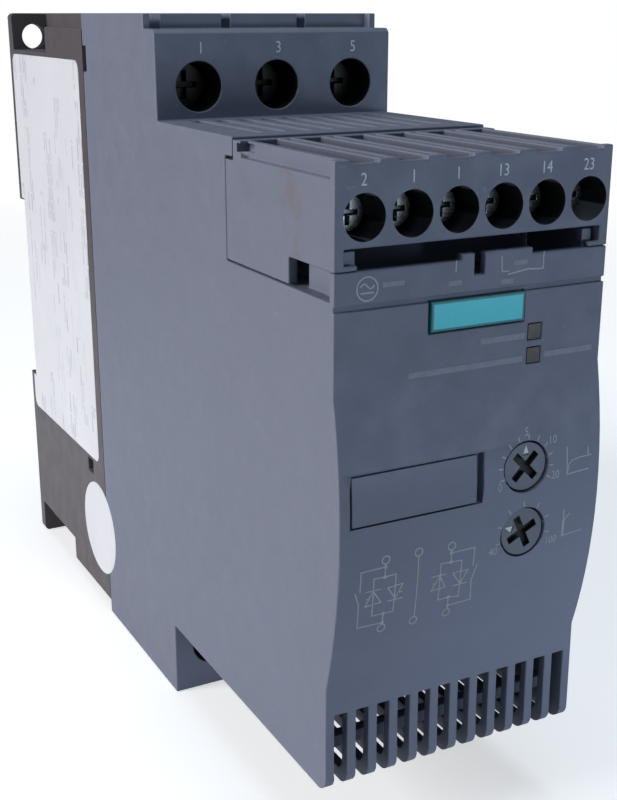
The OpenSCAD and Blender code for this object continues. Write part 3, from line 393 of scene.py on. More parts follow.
def printed_film(name, tint, ink, strength):
    """White film with small faint fields of grey, in rows."""
    finish = Finish(name)
    row = {"axes": "ZY", "greys": (0, 1, 0), "offset": 0.37, "smooth": 0.2}
    blocks = finish.bricks(width=0.0052, height=0.0013, gap=0.0003, shift=0.2, **row)
    fields = finish.bricks(width=0.021, height=0.0078, gap=0.0012, shift=0.31, **row)
    smear = finish.patches(240, 0.30, 0.62, 4, 0.6, ends=(0.35, 1.0))
    inked = finish.product(finish.span(blocks, 0.40, 0.62), finish.span(fields, 0.30, 0.5),
                           smear, strength)
    film = finish.blend(finish.patches(45, 0.35, 0.7, 3), paint(tint), shaded(tint, 0.93))
    finish.shade("Base Color", finish.blend(inked, film, paint(ink)))
    finish.shade("Roughness", finish.patches(90, 0.3, 0.7, ends=(0.34, 0.46)))
    finish.relief(finish.noise(300, 3), 0.00001, 0.3)
    return finish


def printing_ink(name, tint):
    """Screen-printed ink, worn thin in places."""
    finish = Finish(name)
    thin = finish.patches(900, 0.35, 0.65, 3, 0.6)
    finish.shade("Base Color", finish.blend(thin, shaded(tint, 0.86), shaded(tint, 1.06)))
    finish.shade("Roughness", finish.span(thin, 0.0, 1.0, 0.46, 0.56))
    return finish


def varnished_board(name, tint):
    """A varnished circuit board with faint copper runs under the varnish."""
    finish = Finish(name)
    runs = finish.bricks("XZ", width=0.0091, height=0.0034, gap=0.0003, greys=(0, 0.25, 1))
    mottle = finish.noise(120, 3)
    body = finish.blend(mottle, shaded(tint, 0.85), shaded(tint, 1.12))
    finish.shade("Base Color", finish.blend(runs, body, shaded(tint, 1.7)))
    finish.shade("Roughness", finish.span(mottle, 0.3, 0.7, 0.22, 0.34))
    return finish


def clear_window(name, tint):
    """Smoked or clear plastic of an indicator, a little dusty."""
    finish = Finish(name)
    cloud = finish.patches(700, 0.4, 0.7, 4, 0.6)
    finish.shade("Base Color", finish.blend(cloud, paint(tint), shaded(tint, 1.35)))
    finish.shade("Roughness", finish.span(cloud, 0, 1, 0.28, 0.5))
    finish.shade("Coat Weight", 0.15)
    return finish


def stained(finish, centre, reach, tint, share):
    """Adds a soft brown stain to a finish, round a point."""
    around = finish.placed([1 / size for size in reach],
                           shift=[-place / size for place, size in zip(centre, reach)])
    patch = finish.span(finish.distance(around), 1.0, 0.25)
    ragged = finish.patches(420, 0.38, 0.66, 5, 0.65)
    finish.overlay(finish.product(patch, ragged, share), paint(tint))


def painted_lower_light(finish, tint):
    """Paints light on the forward faces, paler towards the lower right of the panel."""
    facing, place = finish.facing(), finish.parts()
    forward = finish.span(facing["Y"], -0.6, -0.9)
    below = finish.span(place["Z"], 0.006, -0.016)
    ribs = finish.span(place["Z"], -0.034, -0.040, 1.0, 0.45)
    right = finish.span(place["X"], -0.0225, 0.0225, 0.18, 0.62)
    finish.overlay(finish.product(forward, below, ribs, right), shaded(tint, 1.9))


def bordered(finish, node, tint):
    """Darkens a narrow border round the front of a plate."""
    low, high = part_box(node)
    parts, borders = finish.parts(), []
    for axis, start, end in (("X", low.x, high.x), ("Z", low.z, high.z)):
        off = finish.combine("SUBTRACT", parts[axis], (start + end) / 2)
        away = finish.combine("ABSOLUTE", off, 0)
        half = (end - start) / 2
        borders.append(finish.span(away, half - BORDER_END, half - BORDER_FULL))
    finish.overlay(finish.combine("MAXIMUM", *borders), shaded(tint, 0.28))


# Shapes


def linked(name, data):
    """A new object at the origin, in the scene."""
    thing = bpy.data.objects.new(name, data)
    bpy.context.scene.collection.objects.link(thing)
    return thing


def made_of(name, shape):
    """A new object at the origin from a bmesh."""
    mesh = bpy.data.meshes.new(name)
    shape.to_mesh(mesh)
    shape.free()
    return linked(name, mesh)


def bent(edge):
    """Whether the surface turns at an edge, or ends there."""
    return not edge.is_manifold or edge.calc_face_angle(0.0) > FLAT


def outlines(shape):
    """For each face, the bent edges round the flat part of the surface that it lies in."""
    found = {}
    for face in shape.faces:
        if face in found:
            continue
        part, queue = {face}, [face]
        while queue:
            for edge in queue.pop().edges:
                if not bent(edge):
                    queue += [other for other in edge.link_faces if other not in part]
                    part.update(edge.link_faces)
        rim = [edge for near in part for edge in near.edges if bent(edge)]
        found.update((near, rim) for near in part)
    return found


def beside(vertex, edge, room):
    """Whether a corner lies beside an edge, off it but nearer than a distance."""
    start, end = (corner.co for corner in edge.verts)
    run = (end - start).normalized()
    along = (vertex.co - start).dot(run)
    gap = (vertex.co - start - along * run).length
    return SLIVER < gap < room and -room / 4 < along < (end - start).length + room / 4


def has_room(edge, rims, room):
    """Whether the flat surfaces next to an edge are wider than a distance all along it."""
    rim = [other for face in edge.link_faces for other in rims[face] if other is not edge]
    return not any(
        beside(vertex, near, room) for other in rim
        for near, far in ((edge, other), (other, edge)) for vertex in far.verts)


def next_bend(vertex, edge, face):
    """The next bent edge round a corner of a flat surface, and the angle between the two."""
    angle = 0.0
    while True:
        loop = next(loop for loop in face.loops if loop.vert is vertex)
        angle += loop.calc_angle() if loop.is_convex else math.tau - loop.calc_angle()
        edge = loop.edge if edge is not loop.edge else loop.link_loop_prev.edge
        if bent(edge):
            return edge, angle
        face = next(other for other in edge.link_faces if other is not face)


def uncrossed(sharp):
    """Leaves out edges whose rounding would cross another's beyond an edge that stays sharp."""
    kept, crossed = set(sharp), {None}
    while crossed:
        crossed = set()
        for vertex in {vertex for edge in kept for vertex in edge.verts}:
            for edge in vertex.link_edges:
                if edge in kept or not edge.is_manifold or not bent(edge):
                    continue
                (one, near), (other, far) = (next_bend(vertex, edge, f) for f in edge.link_faces)
                if {one, other} <= kept and (near > math.pi) != (far > math.pi):
                    crossed.add(one if near > math.pi else other)
        kept -= crossed
    return [edge for edge in sharp if edge in kept]


def clear_of(edge, spare):
    """Whether an edge reaches out of a box of (across, depth, height), if there is one."""
    return spare is None or not all(
        low < value < high for vertex in edge.verts
        for value, (low, high) in zip(measured(vertex.co), spare))


def softened(node, width, spare=None, worn=False):
    """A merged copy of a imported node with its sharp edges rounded, but for those in a box."""
    shape = bmesh.new()
    shape.from_mesh(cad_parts[node].data)
    bmesh.ops.remove_doubles(shape, verts=shape.verts, dist=MERGE_GAP)
    bmesh.ops.dissolve_degenerate(shape, edges=shape.edges, dist=SLIVER)
    bmesh.ops.dissolve_limit(shape, angle_limit=FLAT, verts=shape.verts, edges=shape.edges)
    bmesh.ops.recalc_face_normals(shape, faces=shape.faces)
    rims = outlines(shape)
    sharp = [
        edge for edge in shape.edges
        if edge.is_manifold and edge.calc_face_angle(0.0) > CREASE
        and edge.calc_length() > SHORTEST_EDGE * width and clear_of(edge, spare)
        and has_room(edge, rims, ROOM_BESIDE * width)
    ]
    rounded = bmesh.ops.bevel(
        shape, geom=uncrossed(sharp), offset=width, offset_type="OFFSET",
        segments=ROUND_SEGMENTS, profile=0.5, affect="EDGES", clamp_overlap=False,
        material=-1, loop_slide=False)
    # The rounded faces take a second, paler finish: partly wear, partly a painted highlight along
    # the edges
    if worn:
        for face in rounded["faces"]:
            face.material_index = 1
    for face in shape.faces:
        face.smooth = True
    piece = made_of(node + "_finished", shape)
    piece.data.set_sharp_from_angle(angle=CREASE)
    even = piece.modifiers.new("Even shading", "WEIGHTED_NORMAL")
    even.keep_sharp = True
    even.weight = EVENNESS
    return piece


def seat(piece, body, slot, finish, *nodes):
    """Gives a piece its body and its finish, and hides what it stands for. The slot argument is
    not used.
    """
    piece.data.materials.clear()
    piece.data.materials.append(finish.material)
    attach(piece, body)
    if nodes:
        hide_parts(*nodes)
    return piece


def seat_fine(node, body, slot, finish):
    """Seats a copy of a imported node, with finely rounded edges, in its place."""
    return seat(softened(node, sizes().fine_edge), body, slot, finish, node)


def worn_and_highlit_edges(piece, name, tint):
    """Gives the rounded edges of a piece a paler finish: partly wear, partly a painted highlight
    along the edges.
    """
    paler_tone = moulded(name, toned(tint, 1.14), rough=0.44, dust=0.1)
    piece.data.materials.append(paler_tone.material)


def darken(piece, finish, inside):
    """Gives the faces of a piece that lie inside a region a second finish."""
    piece.data.materials.append(finish.material)
    for face in piece.data.polygons:
        if inside(*measured(face.center)):
            face.material_index = len(piece.data.materials) - 1


def keep(finish, *nodes):
    """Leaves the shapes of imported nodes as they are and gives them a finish."""
    for node in nodes:
        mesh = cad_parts[node].data
        mesh.materials.clear()
        mesh.materials.append(finish.material)


def near_axes(nodes, radius, depths):
    """A test for points near the axes of screws or dials, between two depths."""
    axes = [axis_of(node) for node in nodes]
    return lambda across, depth, height: depths[0] < depth < depths[1] and any(
        math.hypot(across - x, height - z) < radius for x, z in axes)


def wire_channels():
    """A test for points on the floor or a wall of a wire channel, below the top, where shade is
    painted.
    """
    axes = [axis_of(screw) for screw in CONTROL_SCREWS]
    return lambda across, depth, height: (
        CHANNEL_DEPTHS[0] < depth < CHANNEL_DEPTHS[1]
        and CHANNEL_HEIGHTS[0] < height < CHANNEL_HEIGHTS[1]
        and any(abs(across - x) < CHANNEL_HALF_WIDTH for x, z in axes))


def stroke(shape, start, end, width):
    """One straight printed line, half its width past both ends and a hair over the last."""
    lift = STACK_LIFT * (len(shape.faces) % STACK_COUNT)
    start, end = Vector((*start, 0)), Vector((*end, 0))
    run = end - start
    length = run.length + width
    cuts = max(1, int(length / CUT_LENGTH))
    made = bmesh.ops.create_grid(shape, x_segments=cuts, y_segments=1, size=0.5)["verts"]
    angle = math.atan2(run.y, run.x)
    middle = (start + end) / 2 + Vector((0, 0, lift))
    move = (Matrix.Translation(middle) @ Matrix.Rotation(angle, 4, "Z")
            @ Matrix.Diagonal((length, width, 1, 1)))
    bmesh.ops.transform(shape, matrix=move, verts=made)


def lines(shape, drawing, width):
    """Printed lines, each through several points."""
    for points in drawing:
        for start, end in zip(points, points[1:]):
            stroke(shape, start, end, width)


def ring(shape, centre, radius, width):
    """A printed circle."""
    place = Matrix.Translation((*centre, RING_LIFT))
    loops = []
    for edge in (radius - width / 2, radius + width / 2):
        made = bmesh.ops.create_circle(
            shape, cap_ends=False, segments=RING_SIDES, radius=edge, matrix=place)["verts"]
        loops += [link for vertex in made for link in vertex.link_edges]
    bridge = bmesh.ops.bridge_loops(shape, edges=list(dict.fromkeys(loops)))
    for face in bridge["faces"]:
        face.normal_update()
        if face.normal.z < 0:
            face.normal_flip()


def dot(shape, centre, radius):
    """A printed dot."""
    bmesh.ops.create_circle(
        shape, cap_ends=True, segments=DOT_SIDES, radius=radius,
        matrix=Matrix.Translation((*centre, DOT_LIFT)))


def scale_marks(shape, centre, first, step, count, width):
    """The ticks round one dial, from a first angle on, in degrees."""
    for number in range(count):
        angle = math.radians(first - step * number)
        way = Vector((math.cos(angle), math.sin(angle)))
        stroke(shape, Vector(centre) + way * TICK_START, Vector(centre) + way * TICK_END, width)


def lay(shape, surface):
    """Lays everything drawn flat on the surface that carries it."""
    for vertex in shape.verts:
        vertex.co = surface(vertex.co)


def numerals(piece_name, marks, tall, surface):
    """Printed numbers as one mesh. Each mark is (figures, across, height)."""
    shape = bmesh.new()
    for figures, across, height in marks:
        type_set = bpy.data.curves.new(piece_name, type="FONT")
        type_set.body = figures
        type_set.align_x = "CENTER"
        type_set.align_y = "CENTER"
        type_set.size = tall / CAP_SHARE
        type_set.resolution_u = 4
        carrier = bpy.data.objects.new(piece_name, type_set)
        flat = bpy.data.meshes.new_from_object(carrier)
        flat.transform(Matrix.Translation((across, height, 0))
                       @ Matrix.Diagonal((FIGURE_WIDTH, 1, 1, 1)))
        shape.from_mesh(flat)
        bpy.data.objects.remove(carrier)
        bpy.data.curves.remove(type_set)
        bpy.data.meshes.remove(flat)
    lay(shape, surface)
    return made_of(piece_name, shape)


def pointer(node, turn):
    """The white arrow in the face of a dial, turned by degrees from upright."""
    across, height = axis_of(node)
    shape = bmesh.new()
    made = bmesh.ops.create_cone(
        shape, cap_ends=True, segments=3, radius1=POINTER_RADIUS, radius2=POINTER_RADIUS,
        depth=POINTER_THICKNESS)["verts"]
    for move in (Matrix.Diagonal(POINTER_STRETCH), Matrix.Translation(POINTER_PLACE),
                 Matrix.Rotation(math.radians(-turn), 4, "Z"),
                 Matrix.Translation((across, height, POINTER_DEPTH))):
        bmesh.ops.transform(shape, matrix=move, verts=made)
    lay(shape, lambda point: Vector((point.x, -point.z, point.y - HALF_HEIGHT)) * MM)
    bmesh.ops.recalc_face_normals(shape, faces=shape.faces)
    return made_of(node + "_pointer", shape)


# Print of the operating panel, each line through points (across, height)

CIRCUIT_LEFT = [
    [(-14.95, 51.45), (-14.95, 49.4)],
    [(-15.0, 51.0), (-18.9, 50.95), (-18.9, 47.9)],
    [(-19.7, 47.8), (-19.0, 45.8), (-18.85, 41.9), (-14.7, 41.8)],
    [(-14.95, 49.4), (-16.75, 49.5), (-16.6, 43.4), (-14.7, 43.4), (-13.1, 43.35), (-13.1, 49.5),
     (-14.95, 49.4)],
    [(-17.9, 45.2), (-15.3, 45.4), (-16.8, 47.6), (-17.9, 45.2)],
    [(-17.9, 47.6), (-15.6, 47.6)],
    [(-17.8, 46.4), (-17.2, 46.5)],
    [(-14.3, 47.5), (-11.8, 47.7), (-12.96, 45.5), (-14.3, 47.5)],
    [(-14.1, 45.3), (-11.75, 45.3)],
    [(-12.4, 46.4), (-11.9, 46.4)],
    [(-14.7, 43.4), (-14.7, 41.55)],
]
CIRCUIT_MIDDLE = [[(-9.46, 51.5), (-9.26, 41.5)]]
CIRCUIT_RIGHT = [
    [(-3.87, 51.25), (-3.8, 49.3)],
    [(-3.95, 50.8), (0.23, 50.85), (0.2, 47.9)],
    [(0.9, 47.9), (0.16, 45.4), (0.5, 42.0), (-3.5, 41.9)],
    [(-3.8, 49.3), (-5.5, 49.4), (-5.4, 43.3), (-3.6, 43.4), (-1.8, 43.1), (-1.9, 49.2),
     (-3.8, 49.3)],
    [(-6.8, 45.2), (-4.4, 45.3), (-5.5, 47.4), (-6.8, 45.2)],
    [(-6.9, 47.5), (-4.5, 47.5)],
    [(-6.6, 46.3), (-6.1, 46.3)],
    [(-3.3, 47.35), (-0.6, 47.4), (-1.8, 45.3), (-3.3, 47.35)],
    [(-3.0, 45.2), (-0.7, 45.2)],
    [(-3.6, 43.4), (-3.5, 41.4)],
]
CIRCUIT_ENDS = [(-14.95, 52.1), (-14.76, 40.9), (-9.5, 52.15), (-9.34, 40.8), (-3.87, 51.9),
                (-3.6, 40.7)]
CIRCUIT_JOINTS = [(-14.95, 51.0), (-14.95, 49.4), (-14.7, 43.4), (-14.7, 41.8), (-3.9, 50.8),
                  (-3.8, 49.3), (-3.6, 43.4), (-3.5, 41.9)]
RAMP_TIME_SIGN = [
    [(16.17, 63.63), (16.33, 59.4), (20.31, 59.66)],
    [(16.33, 59.4), (16.62, 60.9), (17.17, 61.46), (18.4, 61.7), (20.77, 61.79)],
    [(20.15, 63.1), (20.2, 62.0)],
]
START_VOLTAGE_SIGN = [
    [(16.24, 53.62), (16.38, 49.41), (20.0, 49.67)],
    [(16.31, 51.79), (17.3, 52.9)],
]
START_VOLTAGE_STEP = [[(16.38, 49.41), (16.28, 51.79)]]
SUPPLY_SIGN = [
    [(-3.6, 93.0), (-3.6, 91.6)],
    [(3.96, 93.0), (4.1, 90.9), (5.13, 90.84)],
    [(5.15, 90.4), (8.9, 90.9)],
    [(8.9, 90.8), (11.2, 90.7), (11.2, 93.0)],
]
LONG_BARS = [
    [(1.4, 81.2), (8.2, 81.2)],
    [(-10.4, 77.8), (8.0, 77.8)],
    [(12.6, 78.0), (20.6, 78.0)],
]
SMALL_BARS = [
    [(-14.8, 90.9), (-12.1, 90.9)],
    [(-4.4, 90.0), (-2.9, 90.0)],
    [(6.4, 91.9), (8.1, 91.9)],
    [(4.3, 89.4), (5.8, 89.4)],
]
WAVE_SIGN = [
    [(-18.5 + 0.1 * i, 90.95 + 0.32 * math.sin(i * math.pi / 10)) for i in range(21)],
    [(-18.4, 90.05), (-16.6, 90.05)],
]
WAVE_RING = ((-17.5, 90.6), 1.6)
END_RADIUS = 0.62
JOINT_RADIUS = 0.30
BAR_STRENGTH = 0.40
SMALL_BAR = 0.8

# Ticks round a dial: angle of the first and the step between two, in degrees, and their count
RAMP_TIME_SCALE = (197.5, 22.5, 11)
START_VOLTAGE_SCALE = (194.0, 34.0, 7)

# Plain numbers: at the dials (figures, across, up) from the dial's middle, at the terminals
# (figures, across, height)
RAMP_TIME_NUMBERS = (("0", -4.7, -2.4), ("5", 0.0, 5.3), ("10", 4.7, 3.4), ("20", 5.3, -2.1))
START_VOLTAGE_NUMBERS = (("40", -5.2, -2.2), ("100", 5.4, -2.4))
CONTROL_ROW, MAIN_ROW = 104.8, 119.4
CONTROL_NUMBERS = [(figures, across, CONTROL_ROW) for figures, across in (
    ("2", -18.2), ("1", -10.7), ("1", -3.7), ("13", 3.6), ("14", 10.9), ("23", 18.3))]
MAIN_NUMBERS = [(figures, across, MAIN_ROW) for figures, across in (
    ("1", -14.2), ("3", 0.3), ("5", 15.0))]


# Sizes and colours a user would change


class StarterColours(bpy.types.PropertyGroup):
    """Colours of the mouldings, plates and print."""

    hood: FloatVectorProperty(
        name="Hood", description="Grey plastic of the hood", subtype="COLOR_GAMMA",
        size=3, min=0, max=1, default=(0.415, 0.431, 0.497))
    block: FloatVectorProperty(
        name="Terminal block", description="Grey plastic of the pull-off terminal block",
        subtype="COLOR_GAMMA", size=3, min=0, max=1, default=(0.412, 0.428, 0.494))
    base: FloatVectorProperty(
        name="Base", description="Dark plastic of the base", subtype="COLOR_GAMMA",
        size=3, min=0, max=1, default=(0.320, 0.298, 0.310))
    dial: FloatVectorProperty(
        name="Dials", description="Plastic of the setting dials", subtype="COLOR_GAMMA",
        size=3, min=0, max=1, default=(0.425, 0.440, 0.490))
    plate: FloatVectorProperty(
        name="Coloured plate", description="Gloss of the blank coloured plate",
        subtype="COLOR_GAMMA", size=3, min=0, max=1, default=(0.260, 0.800, 0.840))
    paper: FloatVectorProperty(
        name="Labels", description="Film of the rating label and the sticker",
        subtype="COLOR_GAMMA", size=3, min=0, max=1, default=(0.850, 0.848, 0.872))
    print_tone: FloatVectorProperty(
        name="Print", description="Ink on the operating panel", subtype="COLOR_GAMMA",
        size=3, min=0, max=1, default=(0.680, 0.685, 0.710))


class StarterSizes(bpy.types.PropertyGroup):
    """Edge roundings and print widths."""

    edge: FloatProperty(
        name="Edge rounding", description="Rounding of the moulded edges", subtype="DISTANCE",
        unit="LENGTH", default=0.00022, min=0.00005, max=0.0005)
    fine_edge: FloatProperty(
        name="Fine edge rounding", description="Rounding of screws, dials and plates",
        subtype="DISTANCE", unit="LENGTH", default=0.0001, min=0.00002, max=0.0003)
    line_width: FloatProperty(
        name="Line width", description="Width of the printed lines", subtype="DISTANCE",
        unit="LENGTH", default=0.00020, min=0.0001, max=0.0006)
    bar_width: FloatProperty(
        name="Bar width", description="Width of the printed bars", subtype="DISTANCE",
        unit="LENGTH", default=0.00085, min=0.0002, max=0.002)


def colours():
    """The colours that are set in the scene."""
    return bpy.context.scene.starter_colours


def sizes():
    """The sizes that are set in the scene."""
    return bpy.context.scene.starter_sizes


class STARTER_OT_hood(bpy.types.Operator):
    """Rounds and finishes the grey hood"""

    bl_idname = "starter.hood"
    bl_label = "Hood"

    def execute(self, context):
        plastic = moulded("hood_plastic", colours().hood)
        # Painted light, paler towards the lower right of the panel front
        painted_lower_light(plastic, colours().hood)
        for stain in HOOD_STAINS:
            stained(plastic, *stain)
        hood = softened("hood", sizes().edge, worn=True)
        seat(hood, "housing", "hood_plastic", plastic, "hood")
        # Paler rounded edges: partly wear, partly painted highlight
        worn_and_highlit_edges(hood, "hood_rubbed_and_highlit_edges", colours().hood)
        # Painted shade on the walls of the main screw bores
        darken(hood, bore_shade_finish("main_bore_shade"), near_axes(MAIN_SCREWS, *MAIN_BORE))
        return {"FINISHED"}


class STARTER_OT_base(bpy.types.Operator):
    """Rounds and finishes the dark base, its rail catch and the spring of the catch"""

    bl_idname = "starter.base"
    bl_label = "Base and rail catch"

    def execute(self, context):
        plastic = moulded("base_plastic", colours().base, rough=0.42, dust=0.15)
        seat(softened("base", sizes().edge), "housing", "base_plastic", plastic, "base")
        seat_fine("rail_catch", "rail_catch", "base_plastic", plastic)
        steel = bare_metal("spring_steel", (0.60, 0.60, 0.61), 0.28)
        spring = seat_fine("catch_spring", "housing", "steel", steel)
        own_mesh(spring)
        return {"FINISHED"}


class STARTER_OT_terminal_block(bpy.types.Operator):
    """Rounds and finishes the pull-off control terminal block"""

    bl_idname = "starter.terminal_block"
    bl_label = "Control terminal block"

    def execute(self, context):
        plastic = moulded("block_plastic", colours().block)
        for stain in BLOCK_STAINS:
            stained(plastic, *stain)
        block = softened("control_block", sizes().edge, spare=SIDE_CHANNEL, worn=True)
        seat(block, "terminal_block", "block_plastic", plastic, "control_block")
        # Paler rounded edges: partly wear, partly painted highlight
        worn_and_highlit_edges(block, "block_rubbed_and_highlit_edges", colours().block)
        # Painted shade on the floors and walls of the wire channels
        shade = moulded("channel_shade", toned(colours().block, 0.84), dust=0.15)
        darken(block, shade, wire_channels())
        # Painted shade on the walls of the control screw bores
        darken(block, bore_shade_finish("bore_shade"), near_axes(CONTROL_SCREWS, *CONTROL_BORE))
        keep(bare_metal("tinned_strips", (0.72, 0.71, 0.68), 0.3), "contact_strips")
        return {"FINISHED"}


class STARTER_OT_control_terminals(bpy.types.Operator):
    """Finishes the six small screws and their clamps"""

    bl_idname = "starter.control_terminals"
    bl_label = "Control screws and clamps"

    def execute(self, context):
        # Darker metal: partly tarnish, partly painted shade for the screws deep in their bores
        shaded_zinc = bare_metal("tarnished_and_shaded_screws", (0.50, 0.50, 0.49), 0.22, (1, 1, 3), 0.7)
        for pair in zip(CONTROL_SCREWS, CLAMPS):
            for node in pair:
                seat_fine(node, node, "steel", shaded_zinc)
        return {"FINISHED"}


class STARTER_OT_main_terminals(bpy.types.Operator):
    """Finishes the six large screws, their cages and the copper bars"""

    bl_idname = "starter.main_terminals"
    bl_label = "Main screws, cages and bars"

    def execute(self, context):
        # Painted shade: dark metal for the screw heads deep in the main bores, with some tarnish
        shaded_zinc = bare_metal("shade_darkened_heads", (0.30, 0.29, 0.27), 0.40, (3, 1, 1), 0.6)
        cage_steel = bare_metal("cage_steel", (0.60, 0.60, 0.60), 0.34, (1, 1, 4), 0.35)
        copper = bare_metal("bar_copper", (0.72, 0.46, 0.33), 0.30, (4, 1, 1), 0.3)
        for pole in POLES:
            seat_fine("screw_" + pole, "screw_" + pole, "steel", shaded_zinc)
            seat_fine("cage_" + pole, "cage_" + pole, "steel", cage_steel)
        for bar in ("bar_l1", "bar_l3", "bar_t1", "bar_t3", "bar_centre"):
            seat_fine(bar, "housing", "copper", copper)
        return {"FINISHED"}


class STARTER_OT_dials(bpy.types.Operator):
    """Rounds the two setting dials and fills their pointers"""

    bl_idname = "starter.dials"
    bl_label = "Setting dials"

    def execute(self, context):
        plastic = moulded("dial_plastic", colours().dial, rough=0.45, dust=0.05, scuffs=0.6)
        # Painted shade: near-black finish in the slot of each dial
        slot_shade = moulded("dial_slot_shade", (0.10, 0.10, 0.11), rough=0.6, dust=0, scuffs=0)
        white = printing_ink("pointer_white", (0.86, 0.86, 0.84))
        for node, turn in DIALS:
            dial = seat_fine(node, node, "dial_plastic", plastic)
            darken(dial, slot_shade, near_axes((node,), *DIAL_SLOT))
            seat(pointer(node, turn), node, "label", white)
        return {"FINISHED"}


class STARTER_OT_plates(bpy.types.Operator):
    """Finishes the blank coloured plate and the blank inscription plate"""

    bl_idname = "starter.plates"
    bl_label = "Plates"

    def execute(self, context):
        gloss = moulded("plate_gloss", colours().plate, rough=0.34, grain=0.000005, dust=0,
                        scuffs=0.2)
        bordered(gloss, "badge_plate", colours().plate)
        seat_fine("badge_plate", "housing", "badge", gloss)
        tag = moulded("tag_plastic", colours().hood, rough=0.45, grain=0.00001, dust=0)
        seat_fine("inscription_plate", "housing", "hood_plastic", tag)
        return {"FINISHED"}


class STARTER_OT_labels(bpy.types.Operator):
    """Finishes the blank rating label and the round sticker"""

    bl_idname = "starter.labels"
    bl_label = "Labels"

    def execute(self, context):
        paper = colours().paper
        keep(printed_film("rating_film", paper, (0.60, 0.61, 0.68), 0.62), "rating_label")
        keep(printed_film("sticker_film", paper, (0.62, 0.62, 0.66), 0.16), "round_sticker")
        return {"FINISHED"}


class STARTER_OT_windows(bpy.types.Operator):
    """Finishes the smoked windows of the two indicators and the lamps behind them"""

    bl_idname = "starter.windows"
    bl_label = "Indicator windows"

    def execute(self, context):
        smoke = clear_window("smoked_window", (0.270, 0.250, 0.215))
        for node in ("light_guide_upper", "light_guide_lower"):
            seat_fine(node, "housing", "window", smoke)
        keep(clear_window("lamp_lens", (0.80, 0.82, 0.78)), "indicator_leds")
        return {"FINISHED"}


class STARTER_OT_panel_print(bpy.types.Operator):
    """Prints the signs, scales and soft bars of the operating panel"""

    bl_idname = "starter.panel_print"
    bl_label = "Panel print"

    def execute(self, context):
        tone = colours().print_tone
        light = printing_ink("panel_ink", tone)
        faint = printing_ink("faint_ink", tuple(
            BAR_STRENGTH * part + (1 - BAR_STRENGTH) * under
            for part, under in zip(tone, colours().hood)))
        width = sizes().line_width / MM
        bar = sizes().bar_width / MM
        upper, lower = (axis_of(dial) for dial, turn in DIALS)

        shape = bmesh.new()
        for drawing in (CIRCUIT_LEFT, CIRCUIT_MIDDLE, CIRCUIT_RIGHT, RAMP_TIME_SIGN,
                        START_VOLTAGE_SIGN, SUPPLY_SIGN):
            lines(shape, drawing, width)
        lines(shape, START_VOLTAGE_STEP, 2 * width)
        for centre in CIRCUIT_ENDS:
            ring(shape, centre, END_RADIUS, width)
        for centre in CIRCUIT_JOINTS:
            dot(shape, centre, JOINT_RADIUS)
        scale_marks(shape, upper, *RAMP_TIME_SCALE, width)
        scale_marks(shape, lower, *START_VOLTAGE_SCALE, width)
        ring(shape, *WAVE_RING, width)
        lines(shape, WAVE_SIGN, width)
        lay(shape, on_panel)
        seat(made_of("panel_signs", shape), "housing", "label", light)

        shape = bmesh.new()
        lines(shape, LONG_BARS, bar)
        lines(shape, SMALL_BARS, SMALL_BAR * bar)
        lay(shape, on_panel)
        seat(made_of("panel_bars", shape), "housing", "label", faint)

        marks = [
            (figures, centre[0] + across, centre[1] + up)
            for centre, numbers in ((upper, RAMP_TIME_NUMBERS), (lower, START_VOLTAGE_NUMBERS))
            for figures, across, up in numbers
        ]
        printed = numerals("dial_numbers", marks, DIAL_FIGURE, on_panel)
        seat(printed, "housing", "label", light)
        return {"FINISHED"}


class STARTER_OT_terminal_numbers(bpy.types.Operator):
    """Prints the plain numbers above the terminals"""

    bl_idname = "starter.terminal_numbers"
    bl_label = "Terminal numbers"

    def execute(self, context):
        light = printing_ink("terminal_ink", toned(colours().print_tone, 1.22))
        control = numerals("control_numbers", CONTROL_NUMBERS, CONTROL_FIGURE, on_strip)
        seat(control, "terminal_block", "label", light)
        mains = numerals("main_numbers", MAIN_NUMBERS, MAIN_FIGURE, on_block)
        seat(mains, "housing", "label", light)
        return {"FINISHED"}


class STARTER_OT_inner_parts(bpy.types.Operator):
    """Finishes the boards, relays, power modules and heat sink inside"""

    bl_idname = "starter.inner_parts"
    bl_label = "Inner parts"

    def execute(self, context):
        keep(varnished_board("board_varnish", (0.10, 0.33, 0.19)), "control_board",
             "power_board")
        keep(moulded("black_moulding", (0.12, 0.12, 0.13), rough=0.38, dust=0.1, scuffs=0.1),
             "header_body", "relay_left", "relay_right", "thyristor_left", "thyristor_right",
             "board_parts")
        keep(moulded("potentiometer_body", (0.16, 0.34, 0.58), rough=0.35, dust=0, scuffs=0),
             "potentiometer_upper", "potentiometer_lower")
        keep(bare_metal("inner_steel", (0.66, 0.66, 0.66), 0.3), "board_spacers",
             "module_screws")
        keep(bare_metal("tinned_pins", (0.74, 0.73, 0.70), 0.25), "header_pins")
        keep(bare_metal("extruded_alloy", (0.74, 0.75, 0.76), 0.34, (3, 3, 0.2), 0.15),
             "heat_sink")
        return {"FINISHED"}


def pale_floor():
    """A wide floor that keeps the object's shadow and turns white away from it."""
    shape = bmesh.new()
    bmesh.ops.create_grid(shape, x_segments=2, y_segments=2, size=FLOOR_HALF)
    bmesh.ops.translate(shape, vec=(0, 0, -HALF_HEIGHT * MM), verts=shape.verts)
    floor = made_of("floor", shape)
    pale = Finish("pale_floor")
    far = pale.span(pale.distance(), FLOOR_NEAR, FLOOR_FAR)
    near = pale.blend(pale.noise(3), (0.80, 0.80, 0.81, 1), (0.82, 0.82, 0.83, 1))
    seen = pale.add("ShaderNodeLightPath").outputs["Is Camera Ray"]
    glow = pale.span(far, 0.0, 1.0, FLOOR_GLOW, 1.0)
    pale.shade("Base Color", pale.blend(far, near, grey(0.0)))
    pale.shade("Emission Color", grey(1.0))
    pale.shade("Emission Strength", pale.product(glow, seen))
    pale.shade("Roughness", 1.0)
    pale.shade("Specular IOR Level", 0.0)
    floor.data.materials.append(pale.material)


